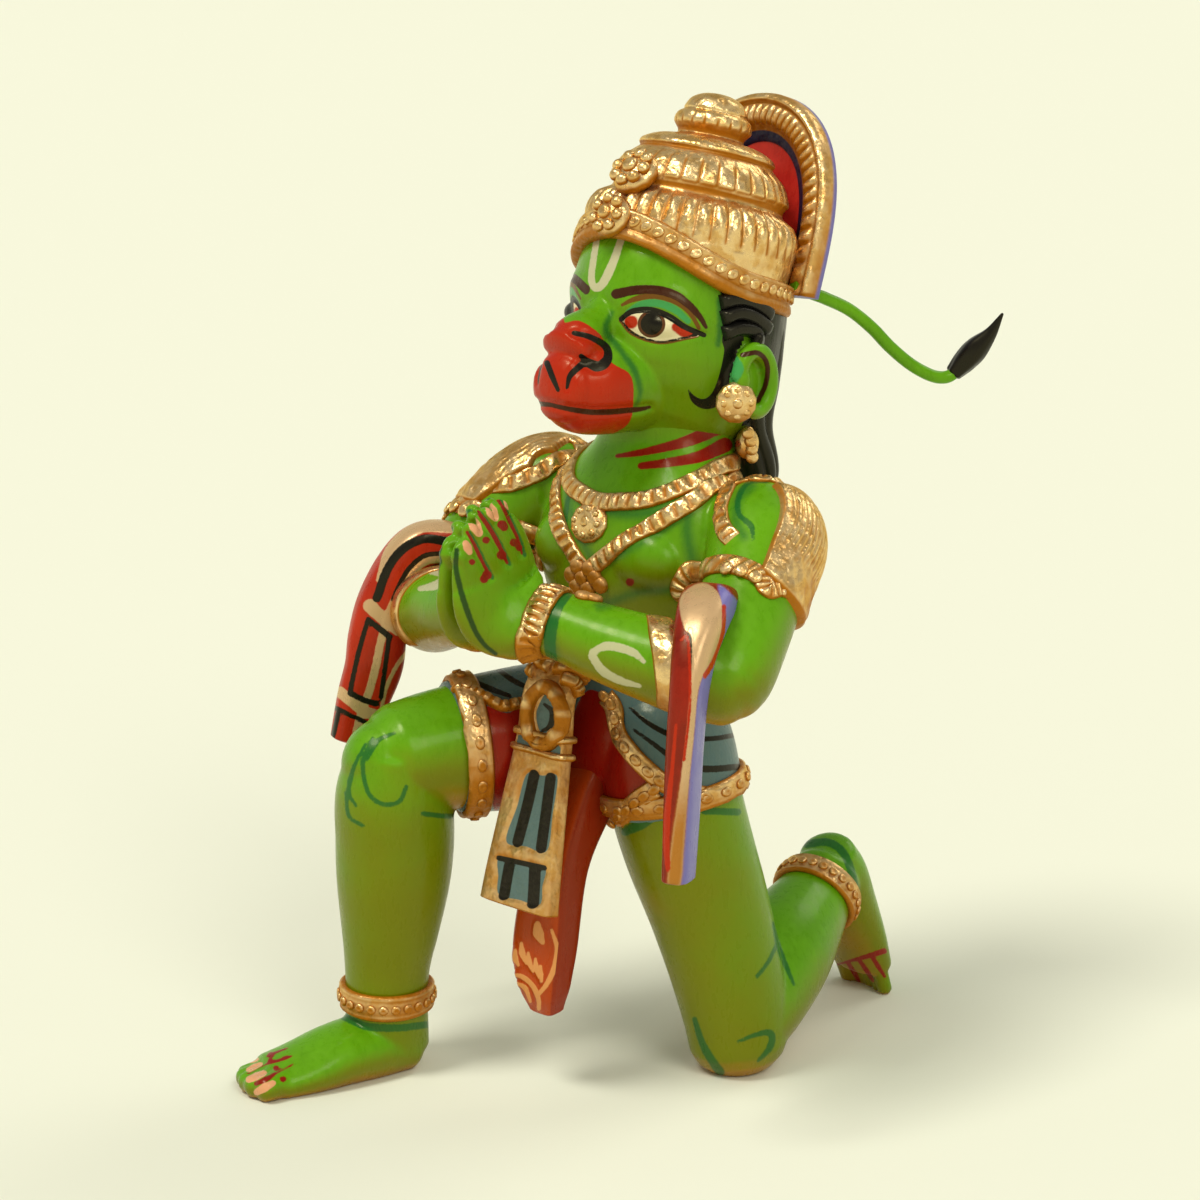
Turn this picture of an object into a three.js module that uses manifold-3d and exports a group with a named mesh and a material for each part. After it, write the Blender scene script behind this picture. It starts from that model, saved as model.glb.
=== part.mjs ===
// Kneeling hanuman figure, carved in one piece, with a separate bent wire tail.
// Millimetres, +Z up. The figure looks along -Y and its left side is +X.
// Pose and proportions are given in units, 290 of which are the figure's height.
import * as THREE from 'three';
import { ParametricGeometry } from 'three/addons/geometries/ParametricGeometry.js';
import { mergeVertices } from 'three/addons/utils/BufferGeometryUtils.js';
import Module from 'manifold-3d';

// Driving sizes in millimetres
const HEIGHT = 300;
const TAIL_ROD = 3.9;
const TAIL_FIT = 0.35;
const SOCKET_DEPTH = 6;
const SOLE_FLAT = 1.2;

// Relief sizes in units
const UNITS = 290;
const BAND_RISE = 1.8;
const RIB_RISE = 0.9;
const HEM_RISE = 1.9;
const CUFF_WIDE = 8;
const PLATE_THICK = 6.5;
const PLATE_WEB = 6;
const FLUTES = 12;
const ARCH_STEPS = 10;

const wasm = await Module();
wasm.setup();

const unit = HEIGHT / UNITS;
const X_AXIS = new THREE.Vector3(1, 0, 0);
const Z_AXIS = new THREE.Vector3(0, 0, 1);
// Square to the upper arm all along its bend
const ARM_SIDE = new THREE.Vector3(0, -1, 1).normalize();
// The width of a hanging cloth end runs along this line, turned over for the right one
const CLOTH_SIDE = new THREE.Vector3(0.9, 0.44, 0).normalize();
const TURN = 2 * Math.PI;
const rad = THREE.MathUtils.degToRad;
const clamp = THREE.MathUtils.clamp;
const mix = THREE.MathUtils.lerp;

const vec = (x, y, z) => new THREE.Vector3(x, y, z);

// A parametric skin made into a solid: seams welded, empty triangles dropped, faces turned out
function toSolid(geometry) {
  geometry.deleteAttribute('normal');
  geometry.deleteAttribute('uv');
  const welded = mergeVertices(geometry, 1e-4);
  const place = welded.attributes.position;
  const faces = [];
  for (let i = 0; i < welded.index.count; i += 3) {
    const [a, b, c] = [0, 1, 2].map((k) => welded.index.getX(i + k));
    if (a !== b && b !== c && c !== a) {
      faces.push(a, b, c);
    }
  }
  const corner = (i) => new THREE.Vector3().fromBufferAttribute(place, i);
  let volume = 0;
  for (let i = 0; i < faces.length; i += 3) {
    volume += corner(faces[i]).dot(corner(faces[i + 1]).cross(corner(faces[i + 2])));
  }
  if (volume < 0) {
    faces.reverse();
  }
  return new wasm.Manifold(new wasm.Mesh({
    numProp: 3,
    vertProperties: new Float32Array(place.array),
    triVerts: new Uint32Array(faces),
  }));
}

// An oval section carried along a smooth path through stations [x, y, z, half width, half depth]
function tube(stations, { side = X_AXIS, power = 2, shape = null } = {}) {
  const path = new THREE.CatmullRomCurve3(
    stations.map(([x, y, z]) => vec(x, y, z)), false, 'catmullrom', 0.5);
  const radii = new THREE.CatmullRomCurve3(
    stations.map(([, , , a, b]) => vec(a, b, 0)), false, 'catmullrom', 0.5);
  const frame = (t) => {
    const tangent = path.getTangent(clamp(t, 0, 1));
    const across = side.clone().addScaledVector(tangent, -side.dot(tangent)).normalize();
    const front = tangent.clone().cross(across);
    return { tangent, across, front };
  };
  const bend = (value) => Math.sign(value) * Math.abs(value) ** (2 / power);
  const point = (angle, t, grow = 1, slide = 0) => {
    const { tangent, across, front } = frame(t);
    const size = radii.getPoint(clamp(t, 0, 1));
    const swell = shape ? shape(angle, t) : 1;
    return path.getPoint(clamp(t, 0, 1))
      .addScaledVector(tangent, slide)
      .addScaledVector(across, bend(Math.cos(angle)) * size.x * grow * swell)
      .addScaledVector(front, bend(Math.sin(angle)) * size.y * grow * swell);
  };
  const normal = (angle, t) => {
    const step = 0.01;
    const along = point(angle, clamp(t + step, 0, 1)).sub(point(angle, clamp(t - step, 0, 1)));
    const round = point(angle + 0.05, t).sub(point(angle - 0.05, t));
    return round.cross(along).normalize();
  };
  return { path, radii, frame, point, normal };
}

// The solid of a tube, closed by a dome of the given length at each end
function limb(stations, { around = 14, along = 6, start = 1, end = 1, ...rest } = {}) {
  const body = tube(stations, rest);
  const [before, after] = [start, end].map((length) => (length > 2.5 ? 2 : 1));
  const rows = before + along + after;
  const skin = (u, v, target) => {
    const row = Math.round(v * rows);
    const t = clamp((row - before) / along, 0, 1);
    const early = Math.max(before - row, 0) / before;
    const late = Math.max(row - before - along, 0) / after;
    const swing = Math.max(early, late) * Math.PI / 2;
    const grow = Math.max(early, late) === 1 ? 0 : Math.cos(swing);
    const slide = (late > 0 ? end : -start) * Math.sin(swing);
    target.copy(body.point(u * TURN, t, grow, slide));
  };
  return toSolid(new ParametricGeometry(skin, around, rows));
}

// A raised strip along points on a surface, notched across where notches are asked for
function strip(points, normals, wide, rise, options = {}) {
  const { closed = false, notches = 0, deep = 0.8, sink = 1.4, rows: asked = 0 } = options;
  const path = new THREE.CatmullRomCurve3(points, closed, 'catmullrom', 0.5);
  const lift = new THREE.CatmullRomCurve3(normals, closed, 'catmullrom', 0.5);
  const rows = notches ? notches * 2 : asked || points.length;
  const outline = [[-1, -sink], [-0.72, rise], [0.72, rise], [1, -sink]];
  const cap = closed ? 0 : 1;
  const skin = (u, v, target) => {
    const row = Math.round(v * (rows + 2 * cap)) - cap;
    const t = closed ? (row % rows) / rows : clamp(row / rows, 0, 1);
    const [w, h] = outline[Math.round(u * outline.length) % outline.length];
    const notch = notches && row % 2 && h > 0 ? deep : 0;
    const up = lift.getPoint(t).normalize();
    const across = path.getTangent(t).cross(up).normalize();
    target.copy(path.getPoint(t));
    if (row >= 0 && row <= rows) {
      target.addScaledVector(across, w * wide / 2).addScaledVector(up, h - notch);
    }
  };
  return toSolid(new ParametricGeometry(skin, outline.length, rows + 2 * cap));
}

// A thin relief laid on a surface over a patch of its two parameters
function relief(surface, [a0, a1], [t0, t1], [na, nt], rise, sink = 1.5) {
  const skin = (u, v, target) => {
    const turn = u * 2;
    const top = turn <= 1;
    const across = top ? turn : 2 - turn;
    const angle = mix(a0, a1, across);
    const t = mix(t0, t1, v);
    const edge = v < 0.001 || v > 0.999 || across < 0.001 || across > 0.999;
    const high = edge ? -sink * 0.3 : (top ? rise(across, v) : -sink);
    target.copy(surface.point(angle, t)).addScaledVector(surface.normal(angle, t), high);
  };
  return toSolid(new ParametricGeometry(skin, na * 2, nt));
}

// A surface of revolution standing on a frame; rows of [radius, height, depth of its flutes]
function turned(profile, place, flutes) {
  const steps = flutes * 2;
  const rows = profile.length - 1;
  const skin = (u, v, target) => {
    const [radius, high, depth] = profile[Math.round(v * rows)];
    const step = Math.round(u * steps) % steps;
    const angle = step / steps * TURN;
    const reach = radius - (step % 2 ? depth : 0);
    target.set(Math.cos(angle) * reach, Math.sin(angle) * reach, high).applyMatrix4(place);
  };
  return toSolid(new ParametricGeometry(skin, steps, rows));
}

function joined(solids) {
  return wasm.Manifold.union(solids);
}

// The mirror image of a solid across the figure's middle plane
function mirrored(solid) {
  const mesh = solid.getMesh();
  const vertProperties = mesh.vertProperties.map((value, i) => (i % 3 ? value : -value));
  const triVerts = mesh.triVerts.toReversed();
  return new wasm.Manifold(new wasm.Mesh({ numProp: 3, vertProperties, triVerts }));
}

// Torso from the crotch to the throat
const TORSO = [
  [-2, -4, 84, 20, 17], [-2, -3, 94, 29, 22], [-2, -3, 106, 30.5, 24], [-1, -1, 118, 28, 22],
  [0, 1, 130, 27, 20], [0, 1, 143, 33, 22], [0, 2, 156, 38, 24.4], [0, 4, 168, 36, 23],
  [0, 7, 177, 32, 20], [0, 10, 186, 24, 18], [0, 12, 194, 20.5, 19], [0, 13, 204, 21, 19],
];
const torso = tube(TORSO);

// Gold on the chest as [across, height], and the heights of the collar and the waist cloth
const COLLAR_LEVEL = 181;
const WAIST_LEVEL = 128;
const CHAIN = [[25, 185], [22, 176], [15, 165], [7, 157], [1, 151.5]];
const MEDALLION = [[0, 171], [0, 167], [0, 163]];
const PENDANT = [[0, 153], [0, 149], [0, 144]];
const FRONT_BORDER = [[11, 116], [17, 106], [22, 96]];
const LOWER_BORDER = [[24, 95], [15, 88], [8, 83]];

const torsoAt = (z) => {
  let [low, high] = [0, 1];
  for (let i = 0; i < 24; i += 1) {
    const middle = (low + high) / 2;
    if (torso.path.getPoint(middle).z < z) {
      low = middle;
    } else {
      high = middle;
    }
  }
  return low;
};
const onChest = (x, z) => {
  const t = torsoAt(z);
  const angle = -Math.acos(clamp(x / torso.radii.getPoint(t).x, -1, 1));
  return { place: torso.point(angle, t), up: torso.normal(angle, t) };
};
const chestStrip = (track, wide, rise, options) => {
  const spots = track.map(([x, z]) => onChest(x, z));
  return strip(spots.map((s) => s.place), spots.map((s) => s.up), wide, rise, options);
};
const ringRound = (surface, level, count, wide, rise, options) => {
  const spots = Array.from({ length: count }, (_, i) => [i / count * TURN, level(i / count * TURN)]);
  return strip(spots.map(([a, t]) => surface.point(a, t)),
    spots.map(([a, t]) => surface.normal(a, t)), wide, rise, { closed: true, ...options });
};

// Head, muzzle and nose
const HEAD = [
  [0, 6, 190, 13, 15], [0, 9, 196, 21, 23], [0, 12, 204, 26.5, 28], [0, 14, 213, 29.5, 31.5],
  [0, 15, 222, 30.5, 33], [0, 16, 232, 30.5, 33], [0, 19, 244, 28, 30], [0, 21, 254, 20, 22],
];
const MUZZLE = [
  [0, -6, 211, 17, 16], [0, -17, 210.5, 16, 15], [0, -26, 210.5, 14.2, 13.6],
  [0, -32, 211, 10.6, 10.4],
];
const NOSE = [
  [0, -12, 233, 4.4, 5], [0, -18, 228.5, 5.8, 5.6], [0, -24.5, 224.6, 8, 7.4],
  [0, -30.5, 221.6, 8.8, 6.4],
];
const HAIR = [
  [0, 24, 236, 27, 18], [0, 26, 222, 27.5, 17.5], [0, 27, 207, 25.5, 15.5], [0, 28, 193, 23, 13],
  [0, 30, 180, 24.5, 11], [0, 29, 171, 21, 7],
];

// Arms and hands of the left side; the right side is the mirror image
const UPPER_ARM = [
  [16, 9, 171, 6, 7], [31, 8, 168.5, 13.4, 14], [42, 7, 167, 16.6, 16.5], [49.5, -3, 159, 15.2, 15.2],
  [56, -15, 148, 14, 14], [60, -25, 138, 13.5, 13.5], [61, -29, 134.5, 12.6, 12.6],
];
// The far shoulder is carried higher
const RIGHT_UPPER_ARM = [
  [16, 9, 173, 6, 7], [31, 8, 171.5, 14, 14.6], [43, 6, 171.5, 17.2, 17.2], [51, -4, 162, 15.6, 15.6],
  [57, -15, 149, 14, 14], [60, -25, 138, 13.5, 13.5], [61, -29, 134.5, 12.6, 12.6],
];
const FOREARM = [
  [61, -27, 135, 13, 13], [54, -33, 137, 13, 13.5], [43, -39, 140, 12, 12.5],
  [31, -44, 143, 11, 11.5], [20, -48, 146, 9.8, 10.2], [12, -51, 148, 9.5, 9.5],
];
const HAND = [
  [13, -50.5, 146, 8.5, 8], [9, -56, 148.5, 8, 11.5], [6.5, -61, 154, 7.5, 14.5],
  [5.2, -62.5, 161, 7, 14], [4.7, -64, 168, 6, 12.8], [4.2, -65.6, 174, 4.6, 10.6],
];
const FINGERS = [
  { root: [5.2, -70.5, 160], tip: [3.6, -73.8, 168.5], thick: 3.8 },
  { root: [5.6, -66.2, 163], tip: [3.8, -69.8, 174], thick: 3.9 },
  { root: [5.6, -61.5, 165.5], tip: [3.8, -65, 178], thick: 3.9 },
  { root: [5.3, -57, 166], tip: [3.6, -59.2, 178.5], thick: 3.8 },
];
const THUMB = { root: [5.5, -50, 156], tip: [3.4, -54, 168], thick: 3.9 };

// The gold fans of the shoulders: degrees round the arm and shares of its length
const NEAR_FAN = { turn: [-168, -44], length: [0.3, 0.6] };
const FAR_FAN = { turn: [-168, 25], length: [0.24, 0.6] };
const FAN_RIBS = 6;

// Legs
const RIGHT_THIGH = [
  [-12, 8, 103, 15, 15], [-17, -2, 101, 19, 20], [-23, -15, 101, 20, 20.5],
  [-30, -33, 100.5, 18.8, 19.6],
  [-37, -48, 99.5, 17.3, 18], [-41, -58, 98, 16.6, 17],
];
const RIGHT_SHIN = [
  [-40.5, -60, 101, 14, 15], [-42, -61, 88, 17, 17.5], [-43, -60, 74, 17.3, 18],
  [-44, -60, 60, 16.6, 17.2], [-45, -60.5, 46, 14.6, 15], [-46, -61, 34, 12.8, 13],
  [-46.5, -61, 24, 12.2, 12.4], [-47, -60.5, 14, 11.8, 12.8], [-47, -60, 7, 11.5, 12.5],
];
const RIGHT_FOOT = [
  [-47, -57, 7, 11.5, 8], [-48, -66, 8.5, 12, 10], [-50, -78, 8.2, 12.2, 9.2],
  [-53, -89, 6.2, 12.4, 7.4], [-56, -98, 4.8, 11.8, 6],
];
const RIGHT_TOES = [
  { root: [-49, -97, 5.4], tip: [-49.6, -106.6, 5], thick: 4.6 },
  { root: [-53.5, -98, 5.2], tip: [-54.2, -107, 4.6], thick: 3.9 },
  { root: [-57.5, -98, 5], tip: [-58.8, -105.6, 4.3], thick: 3.7 },
  { root: [-61.2, -96, 4.6], tip: [-63, -103.2, 4], thick: 3.5 },
  { root: [-64.4, -94, 4.2], tip: [-66.2, -100, 3.6], thick: 3.2 },
];
const LEFT_THIGH = [
  [11, -5, 117, 12, 14], [15.5, -5.5, 106, 18, 18.6], [18, -5, 92, 19.6, 19.6],
  [20.5, -1, 74, 19.2, 19.6], [23.5, 5, 54, 17.8, 18.6], [26, 9.5, 36, 16.6, 17.6],
  [27.5, 13, 20, 15.6, 16.6], [28, 14, 11, 14.8, 15.6],
];
const LEFT_SHIN = [
  [28, 13, 15, 15, 15], [25.5, 24, 21, 16, 16.4], [22, 38, 29, 16, 17],
  [18.5, 50, 35, 14.4, 15], [15.5, 61, 40.5, 12, 12.4], [13.5, 69, 45.5, 11.2, 11.6],
];
const LEFT_FOOT = [
  [13, 70, 52.5, 9.4, 8.6], [12, 74.5, 45.5, 11, 9.6], [10.5, 81, 34.5, 11.2, 8.8],
  [8.5, 88, 22.5, 11.8, 7.5], [6.5, 93.5, 12, 12, 6.4],
];
const LEFT_TOES = [
  { root: [-1, 94.5, 11.5], tip: [-2, 99, 2.4], thick: 3.8 },
  { root: [3.6, 95, 11.5], tip: [3, 100, 1.8], thick: 3.1 },
  { root: [7.6, 95, 11.8], tip: [7.4, 99.2, 1.9], thick: 2.9 },
  { root: [11.4, 94, 12.2], tip: [11.8, 97.6, 2.2], thick: 2.8 },
  { root: [14.8, 92.6, 13], tip: [15.6, 95.4, 3], thick: 2.7 },
];

// Cloth pieces carved with the body
const LEFT_DRAPE = [
  [48, -17, 143, 6, 4], [51.5, -22, 153, 7.4, 5.2], [56, -29.5, 156.6, 7.8, 5.6],
  [60.8, -37.5, 153, 7, 6], [63.8, -43.5, 145, 5.6, 6.6], [65.4, -47, 134, 4.6, 7.4],
  [66, -49, 120, 4.3, 7.6], [66.6, -50.6, 104, 4.2, 7.4], [66.8, -52, 84, 3.9, 6.6],
];
const RIGHT_DRAPE = [
  [-50, -20, 146, 6, 4.6], [-53, -24, 154.6, 7, 5.6], [-56, -29, 156.8, 7.4, 6.4],
  [-59.4, -35.4, 155.4, 7, 6.6], [-62.2, -40.6, 149, 6, 7], [-64.4, -44.6, 139, 5, 8],
  [-65.4, -46.4, 129, 4.4, 8.8], [-65.8, -47.6, 120, 4.2, 8.8], [-67.4, -50.6, 110, 4, 8],
  [-69, -54, 97.5, 3.8, 6.6],
];
const PANEL = [
  [0, -13, 133, 6, 3], [0, -29, 131, 7, 3], [0, -37, 122, 8.8, 3], [0, -39.5, 108, 9.6, 3],
  [0, -43.5, 90, 11.5, 3], [0, -48, 70, 13.6, 3], [0, -50, 60, 14.5, 3],
];
const PLEATS = [
  [0, -14, 100, 8, 8], [0, -24, 88, 8.4, 8], [0, -34, 70, 8.6, 6.4], [-0.5, -39, 46, 9.8, 5.8],
  [0, -40, 34, 8, 5], [0, -39, 26, 5, 3.4],
];
const APRON = [
  [0, -5, 118, 21, 18], [1, -6, 102, 20, 17.5], [3, -7.5, 88, 15, 15.5], [5.5, -9.5, 80, 9, 12.5],
];

function digits(list) {
  return list.map(({ root, tip, thick }) => {
    const [x, y, z] = root.map((value, i) => tip[i] - value);
    const side = Math.abs(x) > Math.hypot(y, z) ? Z_AXIS : X_AXIS;
    return limb([[...root, thick, thick], [...tip, thick * 0.86, thick * 0.86]],
      { around: 6, along: 1, start: 0.5, end: Math.min(thick * 0.8, 2.4), side });
  });
}

function sheet(stations, options) {
  return limb(stations, { around: 8, along: 6, start: 0.8, end: 0.8, power: 4, ...options });
}

function arm(upper, fan) {
  const shoulder = tube(upper, { side: ARM_SIDE });
  const wrist = tube(FOREARM, { side: Z_AXIS });
  const ribbed = (u) => BAND_RISE + (Math.round(u * FAN_RIBS) % 2 ? 0 : RIB_RISE);
  return joined([
    limb(upper, { around: 10, along: 5, start: 3, end: 9, side: ARM_SIDE }),
    limb(FOREARM, { around: 10, along: 3, start: 9, end: 2, side: Z_AXIS }),
    limb(HAND, { around: 10, along: 4, start: 2, end: 2.4 }),
    ...digits([...FINGERS, THUMB]),
    ringRound(wrist, () => 0.93, 8, CUFF_WIDE, BAND_RISE, { rows: 8 }),
    ringRound(shoulder, (a) => 0.585 + 0.02 * Math.cos(a), 8, 5.5, BAND_RISE, { rows: 8 }),
    relief(shoulder, fan.turn.map(rad), fan.length, [FAN_RIBS, 2], ribbed, 5),
  ]);
}

function legs() {
  return joined([
    limb(RIGHT_THIGH, { around: 10, along: 4, start: 4, end: 12 }),
    limb(RIGHT_SHIN, { around: 10, along: 5, start: 2, end: 2 }),
    limb(RIGHT_FOOT, { around: 10, along: 4, start: 6, end: 2 }),
    ...digits(RIGHT_TOES),
    ringRound(tube(RIGHT_SHIN), () => 0.745, 8, CUFF_WIDE, HEM_RISE, { rows: 8 }),
    limb(LEFT_THIGH, { around: 10, along: 5, start: 3, end: 12 }),
    limb(LEFT_SHIN, { around: 10, along: 4, start: 2, end: 5 }),
    limb(LEFT_FOOT, { around: 10, along: 3, start: 4, end: 2 }),
    ...digits(LEFT_TOES),
    ringRound(tube(LEFT_SHIN), (a) => 0.84 - 0.03 * Math.sin(a), 8, CUFF_WIDE, HEM_RISE,
      { rows: 8 }),
  ]);
}

function trunk() {
  const collar = torsoAt(COLLAR_LEVEL);
  const otherChain = CHAIN.map(([x, z]) => [-x, z]);
  return joined([
    limb(TORSO, { around: 14, along: 7, start: 1, end: 1 }),
    limb(APRON, { around: 10, along: 3 }),
    sheet(PLEATS, { along: 4, end: 2 }),
    sheet(PANEL, { along: 5 }),
    sheet(LEFT_DRAPE, { side: CLOTH_SIDE }),
    sheet(RIGHT_DRAPE, { side: CLOTH_SIDE.clone().multiply(vec(1, -1, 1)) }),
    ringRound(torso, (a) => collar + 0.04 * Math.sin(a), 12, 6, BAND_RISE, { rows: 12 }),
    chestStrip(CHAIN, 5, BAND_RISE, { rows: 5 }),
    chestStrip(otherChain, 5, BAND_RISE, { rows: 5 }),
    chestStrip(MEDALLION, 7.5, BAND_RISE),
    chestStrip(PENDANT, 5.5, BAND_RISE + 0.6),
  ]);
}

function ear(hand) {
  const shell = limb([[hand * 27, 12, 211.5, 9, 8], [hand * 32.6, 12.4, 211.8, 9.5, 7.5]],
    { around: 10, along: 1, start: 0.8, end: 1.4, side: Z_AXIS });
  const hollow = limb([[hand * 32.4, 12.4, 212, 5.6, 4.2], [hand * 37, 12.4, 212, 6, 4.2]],
    { around: 8, along: 1, start: 1, end: 1, side: Z_AXIS });
  return shell.subtract(hollow);
}

function head() {
  const face = tube(HEAD);
  const parts = [
    limb(HEAD, { around: 14, along: 6, start: 2, end: 2 }),
    limb(MUZZLE, { around: 10, along: 3, start: 1, end: 5.5 }),
    limb(NOSE, { around: 8, along: 3, start: 1, end: 2.4 }),
    limb(HAIR, { around: 12, along: 4, start: 1, end: 2, shape: (a) => 1 + 0.04 * Math.cos(6 * a) }),
  ];
  for (const hand of [1, -1]) {
    parts.push(ear(hand));
    parts.push(limb([[hand * 26, 8.4, 206.6, 5.4, 5.4], [hand * 33.6, 5.8, 206.4, 6, 6]],
      { around: 10, along: 1, start: 1, end: 1.6, side: Z_AXIS }));
    const eye = face.point(rad(hand > 0 ? -52 : -128), 0.63);
    parts.push(limb([[eye.x * 0.9, eye.y + 2, eye.z, 3, 5.5], [eye.x, eye.y - 0.2, eye.z, 2.4, 4.8]],
      { around: 8, along: 1, start: 0.8, end: 0.6, side: Z_AXIS }));
  }
  return joined(parts);
}

// Crown: turned tiers on an axis leaning back, with an arched plate behind
const CROWN_BASE = vec(0, 15, 232);
const CROWN_LEAN = 16.5;
const crownPlace = new THREE.Matrix4().makeRotationX(-rad(CROWN_LEAN)).setPosition(CROWN_BASE);
const onCrown = (x, y, z) => vec(x, y, z).applyMatrix4(crownPlace);
const rimLift = (angle) => 11 * Math.max(0, -Math.sin(angle)) ** 2;
const PLATE_HALF = 36.5;
const PLATE_TOP = 66;
const PLATE_BACK = 26;
const PLATE_LOW = 5;

const archAt = (share, inset = 0) => {
  const swing = share * Math.PI;
  const x = (PLATE_HALF - inset) * Math.cos(swing) * (0.86 + 0.14 * Math.sin(swing));
  return [x, mix(PLATE_LOW, PLATE_TOP - inset, Math.sin(swing) ** 0.72)];
};

// Radius, height and flute depth of the crown's rows, from under the rim to the knob
const CROWN_PROFILE = [
  [0, -2, 0], [30, -1, 0], [31.2, 8.5, 0.4], [31.8, 14, 2], [29.4, 21, 2], [25.4, 26.4, 0.6],
  [25, 29.6, 0.6], [23.4, 34.5, 1.8], [18.8, 40.4, 0.6], [18, 43.4, 0],
  [13.4, 47, 0], [9.3, 47.8, 0], [10.6, 53, 0], [7.4, 59, 0], [0, 60.6, 0],
];

// Web of the plate with the ribbed arch standing forward along its edge
function plate() {
  const shares = Array.from({ length: ARCH_STEPS + 1 }, (_, i) => i / ARCH_STEPS);
  const outline = shares.map((share) => new THREE.Vector2(...archAt(share, 1)));
  const web = new THREE.ExtrudeGeometry(new THREE.Shape(outline),
    { depth: PLATE_WEB, bevelEnabled: false });
  web.rotateX(Math.PI / 2).translate(0, PLATE_BACK, 0).applyMatrix4(crownPlace);
  const track = shares.map((share) => archAt(0.015 + 0.97 * share, 5));
  const front = vec(0, -1, 0).transformDirection(crownPlace);
  const arch = strip(track.map(([x, z]) => onCrown(x, PLATE_BACK - 1, z)), track.map(() => front),
    11, PLATE_THICK, { notches: ARCH_STEPS, deep: 1.2, sink: 0.9 });
  return joined([toSolid(web), arch]);
}

function crown() {
  const spots = Array.from({ length: 14 }, (_, i) => i / 14 * TURN);
  const rim = strip(
    spots.map((a) => onCrown(Math.cos(a) * 31, Math.sin(a) * 31, 4.4 + rimLift(a))),
    spots.map((a) => vec(Math.cos(a), Math.sin(a), 0.15).transformDirection(crownPlace)),
    9, 3, { closed: true, rows: 12, sink: 4 });
  const boss = (high, reach, size) => {
    const [start, end] = [reach - 5, reach].map((far) => onCrown(0, -far, high));
    return limb([[...start.toArray(), size, size], [...end.toArray(), size, size]],
      { around: 8, along: 1, start: 0.8, end: 1.8 });
  };
  const tiers = turned(CROWN_PROFILE, crownPlace, FLUTES);
  return joined([
    tiers,
    rim,
    boss(17, 33.6, 6.5),
    boss(35, 26.6, 5.2),
    plate(),
  ]);
}

// Cloth of the hips and thighs with its raised hems
function dhoti() {
  const hem = { rows: 8, sink: 2 };
  const rightThigh = tube(RIGHT_THIGH);
  const leftThigh = tube(LEFT_THIGH);
  const lay = (track) => chestStrip(track, 5.4, HEM_RISE + 1.2, { rows: 4, sink: 3 });
  return joined([
    ringRound(rightThigh, (a) => 0.685 + 0.015 * Math.cos(a), 12, 7, HEM_RISE + 0.6, hem),
    ringRound(leftThigh, (a) => 0.298 - 0.006 * Math.sin(a), 12, 6, HEM_RISE + 0.6, hem),
    ringRound(torso, () => torsoAt(WAIST_LEVEL), 12, 6, HEM_RISE, hem),
    lay(FRONT_BORDER),
    lay(LOWER_BORDER),
  ]);
}

// Tail: rod bent down from its socket and up again, ending in a flame tuft
const MOUTH = vec(27.2, 42.4, 233.6);
const LEAVING = vec(0.3, 0.88, -0.37).normalize();
const TAIL_PATH = [
  [31.7, 55, 227.6], [35.2, 61, 222.1], [38.1, 66.5, 215.8], [41.4, 72.5, 210.2],
  [44.6, 78.5, 206.6], [46.8, 83, 206.2], [48.6, 86, 209], [50.4, 88, 212.4],
];
const TUFT = [
  [47.6, 84.6, 207.2, 2.5, 2.5], [49.6, 87.2, 210.8, 3.6, 3.4], [52.4, 89, 214.6, 3.7, 3.4],
  [56, 91, 219.4, 2, 1.9], [58.7, 92.8, 225, 0.5, 0.5],
];
const socketDeep = SOCKET_DEPTH / unit;
const rodRadius = TAIL_ROD / 2 / unit;
const gap = TAIL_FIT / unit;
const onTailLine = (far) => MOUTH.clone().addScaledVector(LEAVING, far).toArray();

function tailRod() {
  const straight = [-socketDeep, -socketDeep / 2, 0, 3, 6].map(onTailLine);
  const track = [...straight, ...TAIL_PATH].map((place) => [...place, rodRadius, rodRadius]);
  return limb(track, { around: 8, along: 12, start: 0.3, end: 0.3 });
}

function socket() {
  const wide = (rodRadius + gap) / Math.cos(Math.PI / 12);
  const ends = [8, -socketDeep - gap - 0.3].map((far) => [...onTailLine(far), wide, wide]);
  return limb(ends, { around: 10, along: 1, start: 0.1, end: 0.1 });
}

// What lies under the soles, the knee and the toes is cut away to a flat
const ground = SOLE_FLAT / unit;
const slab = { wide: 1.4 * UNITS, deep: 0.14 * UNITS };
const slabBelow = toSolid(new THREE.BoxGeometry(slab.wide, slab.wide, slab.deep)
  .translate(0, 0, ground - slab.deep / 2));

function figureSolid() {
  const near = arm(UPPER_ARM, NEAR_FAN);
  const far = mirrored(arm(RIGHT_UPPER_ARM, FAR_FAN));
  const whole = joined([trunk(), head(), crown(), dhoti(), legs(), near, far]);
  return whole.subtract(slabBelow).subtract(socket());
}

function toMesh(solid, name, material) {
  const mesh = solid.getMesh();
  const geometry = new THREE.BufferGeometry();
  const place = new THREE.BufferAttribute(new Float32Array(mesh.vertProperties), 3);
  geometry.setAttribute('position', place);
  geometry.setIndex(new THREE.BufferAttribute(new Uint32Array(mesh.triVerts), 1));
  geometry.scale(unit, unit, unit);
  geometry.translate(0, 0, -ground * unit);
  const made = new THREE.Mesh(geometry, material);
  made.name = name;
  return made;
}

const figure = figureSolid();
const tail = joined([tailRod(), limb(TUFT, { around: 8, along: 5, start: 1, end: 0.6 })]);

const green = new THREE.MeshStandardMaterial({ color: 0x4f9a12, roughness: 0.35, metalness: 0 });
const tailGreen = new THREE.MeshStandardMaterial({ color: 0x3f7d12, roughness: 0.4, metalness: 0 });
const group = new THREE.Group();
group.add(toMesh(figure, 'figure', green), toMesh(tail, 'tail', tailGreen));
const box = new THREE.Box3().setFromObject(group);
group.position.set(-(box.min.x + box.max.x) / 2, -(box.min.y + box.max.y) / 2, -box.min.z);

export default group;
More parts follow.
